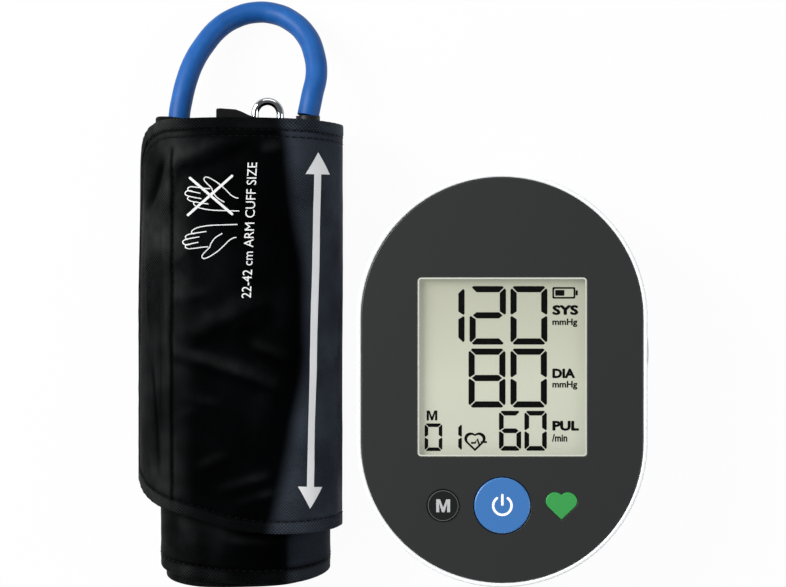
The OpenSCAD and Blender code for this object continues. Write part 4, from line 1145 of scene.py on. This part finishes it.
def rounded_path(points, steps=5):
    """A smooth path through points."""
    made = []
    for i in range(len(points) - 1):
        p0, p1, p2, p3 = (Vector(points[max(0, min(len(points) - 1, k))]) for k in (i - 1, i, i + 1, i + 2))
        for n in range(steps):
            s = n / steps
            made.append(tuple(0.5 * (2 * p1 + (p2 - p0) * s + (2 * p0 - 5 * p1 + 4 * p2 - p3) * s * s
                                     + (3 * p1 - p0 - 3 * p2 + p3) * s ** 3)))
    return made + [tuple(points[-1])]


def lay_print(piece):
    """Cut a flat print, drawn as (t, y), into small faces and lay it on the flap."""
    mesh = piece.data
    work = bmesh.new()
    work.from_mesh(mesh)
    xs, ys = [v.co.x for v in work.verts], [v.co.y for v in work.verts]
    for axis, low, high, step in ((0, min(xs), max(xs), PRINT_STEP_T * MM),
                                  (1, min(ys), max(ys), PRINT_STEP_Y * MM)):
        spot = math.floor(low / step) * step + step
        while spot < high:
            point, way = [0, 0, 0], [0, 0, 0]
            point[axis], way[axis] = spot, 1
            bmesh.ops.bisect_plane(work, geom=work.verts[:] + work.edges[:] + work.faces[:],
                                   plane_co=point, plane_no=way)
            spot += step
    for corner in work.verts:
        t, y = corner.co.x / MM, corner.co.y / MM
        corner.co = at_sheet(t, y, flap_face(t, y)[0] + PRINT_LIFT)
    work.to_mesh(mesh)
    work.free()
    wear(piece, white_print)
    return piece


def print_lines(name, outlines):
    return lay_print(flat_piece(name, outlines, 0, 0, at=(0, 0)))


def arrow_outline():
    (xa, ya), (xb, yb) = ARROW_TOP, ARROW_LOW
    length = math.hypot(xb - xa, yb - ya)
    ux, uy = (xb - xa) / length, (yb - ya) / length
    shaft = length - 2 * ARROW_HEAD
    shape = [(0, 0), (ARROW_HEAD, ARROW_HEAD_HALF)]
    shape += [(ARROW_HEAD + shaft * i / 40, ARROW_HALF) for i in range(41)]
    shape += [(length - ARROW_HEAD, ARROW_HEAD_HALF), (length, 0)]
    shape += [(a, -b) for a, b in reversed(shape[1:-1])]
    return [from_photo(xa + ux * a - uy * b, ya + uy * a + ux * b) for a, b in shape]


width_arrow = print_lines("width_arrow", [arrow_outline()])
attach(width_arrow, "cuff")

# Strokes of one open hand, fingers to the left, in pixels from its left end and its middle line.
HAND = [
    [(55, -15), (40, -14.6), (27, -14), (16, -12), (11, -9.5), (9.5, -7), (12, -5.6)],
    [(24, -8), (13, -6.3), (6, -4.8), (3.5, -2.4), (5.5, 0)],
    [(17, -2.6), (8, -1), (2.5, 0.6), (1, 3), (3.5, 5.2), (8, 5)],
    [(16, 2.8), (9, 4.3), (4.5, 5.5), (4, 8), (7, 9.4)],
    [(7, 9.4), (14, 8.6), (21, 7.6), (26, 7.4)],
    [(40, -6), (33, -1.5), (29, 4), (27.5, 8), (23, 12.5), (20, 16.5), (21.5, 19), (26, 17.8), (34, 13),
     (41, 7), (47, 1), (52, -1.8), (54, -2)],
]
CROSS = [((190, 178), (211, 196), (232, 214)), ((232, 176), (210, 195.5), (188, 215))]


def print_strokes(name, lines, width):
    """Strokes of one drawing as separate prints, numbered from 0."""
    made = []
    for i, line in enumerate(lines):
        stroke = [from_photo(x, y) for x, y in ribbon(line, width)]
        made.append(print_lines("%s_%d" % (name, i), [stroke]))
    return made


def hand_lines(left, middle, flip):
    return [rounded_path([(left + x, middle + flip * y) for x, y in line]) for line in HAND]


hand_open = print_strokes("hand_open", hand_lines(*HAND_OPEN, 1), HAND_LINE)
hand_back = print_strokes("hand_back", hand_lines(*HAND_BACK, -1), HAND_LINE)
crosses = print_strokes("hand_cross", [rounded_path(line, 12) for line in CROSS], CROSS_LINE)
size_text, (text_x0, text_y0), (text_x1, text_y1) = letters("size_text", "22-42 cm ARM CUFF SIZE")
for knot in size_text.data.vertices:
    along, up = (knot.co.x - text_x0) / (text_x1 - text_x0), (knot.co.y - text_y0) / (text_y1 - text_y0)
    t, y = from_photo(TEXT_START[0] - TEXT_HEIGHT * up + TEXT_RUN[0] * along,
                      TEXT_START[1] - TEXT_RUN[1] * along)
    knot.co = (t * MM, y * MM, 0)
lay_print(size_text)
for piece in hand_open + hand_back + crosses + [size_text]:
    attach(piece, "flap")

# Ring and fittings: a bar ring of chromed wire in the folded end of the sheet.
# The hose has a black moulded port and collar in the cuff and a plug at its end, and the case a black socket.
def metal(name, colour, roughness):
    look = plastic(name, colour, roughness)
    feed(look.node_tree.nodes["Principled BSDF"], {"Metallic": 1})
    return look


wear(nodes["bar_ring"], metal("chromed_wire", (0.6, 0.61, 0.62), 0.07))
black_plastic = plastic("fitting_black", (0.005, 0.005, 0.0055), 0.45, 0.25, 0.3 * MM, 0, 0.22)
for name in ("port_collar", "air_port", "air_plug", "air_socket"):
    soften(name, 0.3, black_plastic)

# Ring tab: the inner end of the sheet, a single layer sewn round the bar of the ring.
# Its corner stands out of the roll beside the ring and slopes down to it.
sleeve_low, sleeve_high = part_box("ring_sleeve")
ring_low, ring_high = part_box("bar_ring")
TAB_END, TAB_LEFT, TAB_TOP = sleeve_high[1] / MM, (sleeve_low[0] - roll_x) / MM, sleeve_high[2] / MM
WIRE, SLEEVE_WALL, SLEEVE_PLAY, SLEEVE_SHORT = (ring_high[2] - ring_low[2]) / MM, 1.0, 0.2, 4.4
bar_x = (ring_low[0] - roll_x) / MM + WIRE / 2
bar_z = (ring_low[2] + ring_high[2]) / 2
ring_tab = flat_piece("ring_tab", [[
    (TAB_LEFT, sleeve_low[1] / MM), (bar_x, sleeve_low[1] / MM), (bar_x, TAB_END - 3.4),
    (bar_x - 2.5, TAB_END - 2.3), (bar_x - 5, TAB_END - 1.1), (bar_x - 7, TAB_END - 0.4),
    (TAB_LEFT + 1.5, TAB_END), (TAB_LEFT + 0.3, TAB_END - 0.1), (TAB_LEFT, TAB_END - 0.6)]],
    TAB_TOP - SLEEVE_WALL, TAB_TOP, 0.25, 3, (roll_x, 0))
sleeve_length = TAB_END * MM - SLEEVE_SHORT * MM - sleeve_low[1]
sleeve_middle = (roll_x + bar_x * MM, sleeve_low[1] + sleeve_length / 2, bar_z)
sleeve_turn = (math.pi / 2, 0, 0)
hole_r = (WIRE / 2 + SLEEVE_PLAY) * MM
deselect_all()
bpy.ops.mesh.primitive_cylinder_add(vertices=40, radius=hole_r + SLEEVE_WALL * MM, depth=sleeve_length,
                                    rotation=sleeve_turn, location=sleeve_middle)
ring_sleeve = bpy.context.object
bore(ring_sleeve, hole_r, 2 * sleeve_length, sleeve_turn, sleeve_middle, 40)
bpy.ops.object.transform_apply(location=True, rotation=True, scale=True)
ring_tab.select_set(True)
bpy.context.view_layer.objects.active = ring_tab
bpy.ops.object.join()
bpy.ops.object.shade_smooth_by_angle(angle=SMOOTH_ANGLE)
wear(ring_tab, plastic("tab_nylon", (0.0025, 0.0027, 0.003), 0.6, 0.6, 0.4 * MM, 0, 0.1))
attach(ring_tab, "cuff")
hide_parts("ring_sleeve")

# Hook patch: a strip of moulded hook tape sewn under the free end of the flap.
# Its fine hooks are shown as a coarse rough grain.
hook_look = plastic("hook_tape", (0.006, 0.006, 0.0065), 0.6, 1.0, 0.5 * MM, 0, 0.3)
wear(nodes["hook_patch"], hook_look)

# Inside: the parts behind the face and on the underside keep their built forms.
# Each has the plain working finish of its material.
steel = metal("bright_steel", (0.55, 0.55, 0.56), 0.28)
rubber = plastic("soft_rubber", (0.02, 0.02, 0.021), 0.65, 0.3, 0.4 * MM)
pump_plastic = plastic("pump_plastic", (0.55, 0.55, 0.52), 0.4, 0.1)
board_green = plastic("board_green", (0.02, 0.12, 0.05), 0.35)
for name, look in (
        ("case_screws", steel), ("rubber_feet", rubber), ("plug_seal", rubber), ("contact_strip", rubber),
        ("main_board", board_green), ("button_switches", black_plastic), ("pressure_sensor", black_plastic),
        ("pump_motor", steel), ("pump_sleeve", rubber), ("pump_head", pump_plastic), ("pump_rotor", steel),
        ("release_valve", pump_plastic), ("valve_plunger", steel), ("air_manifold", pump_plastic),
        ("air_tubing", plastic("silicone_tube", (0.75, 0.76, 0.74), 0.35)), ("battery_springs", steel),
        ("battery_contacts", steel), ("battery_bay", case_white),
        ("batteries", plastic("cell_wrap", (0.04, 0.07, 0.16), 0.3)),
        ("lcd_backlight", plastic("light_white", (0.85, 0.86, 0.85), 0.5)),
        ("indicator_led", plastic("led_green", (0.1, 0.5, 0.15), 0.2))):
    wear(nodes[name], look)
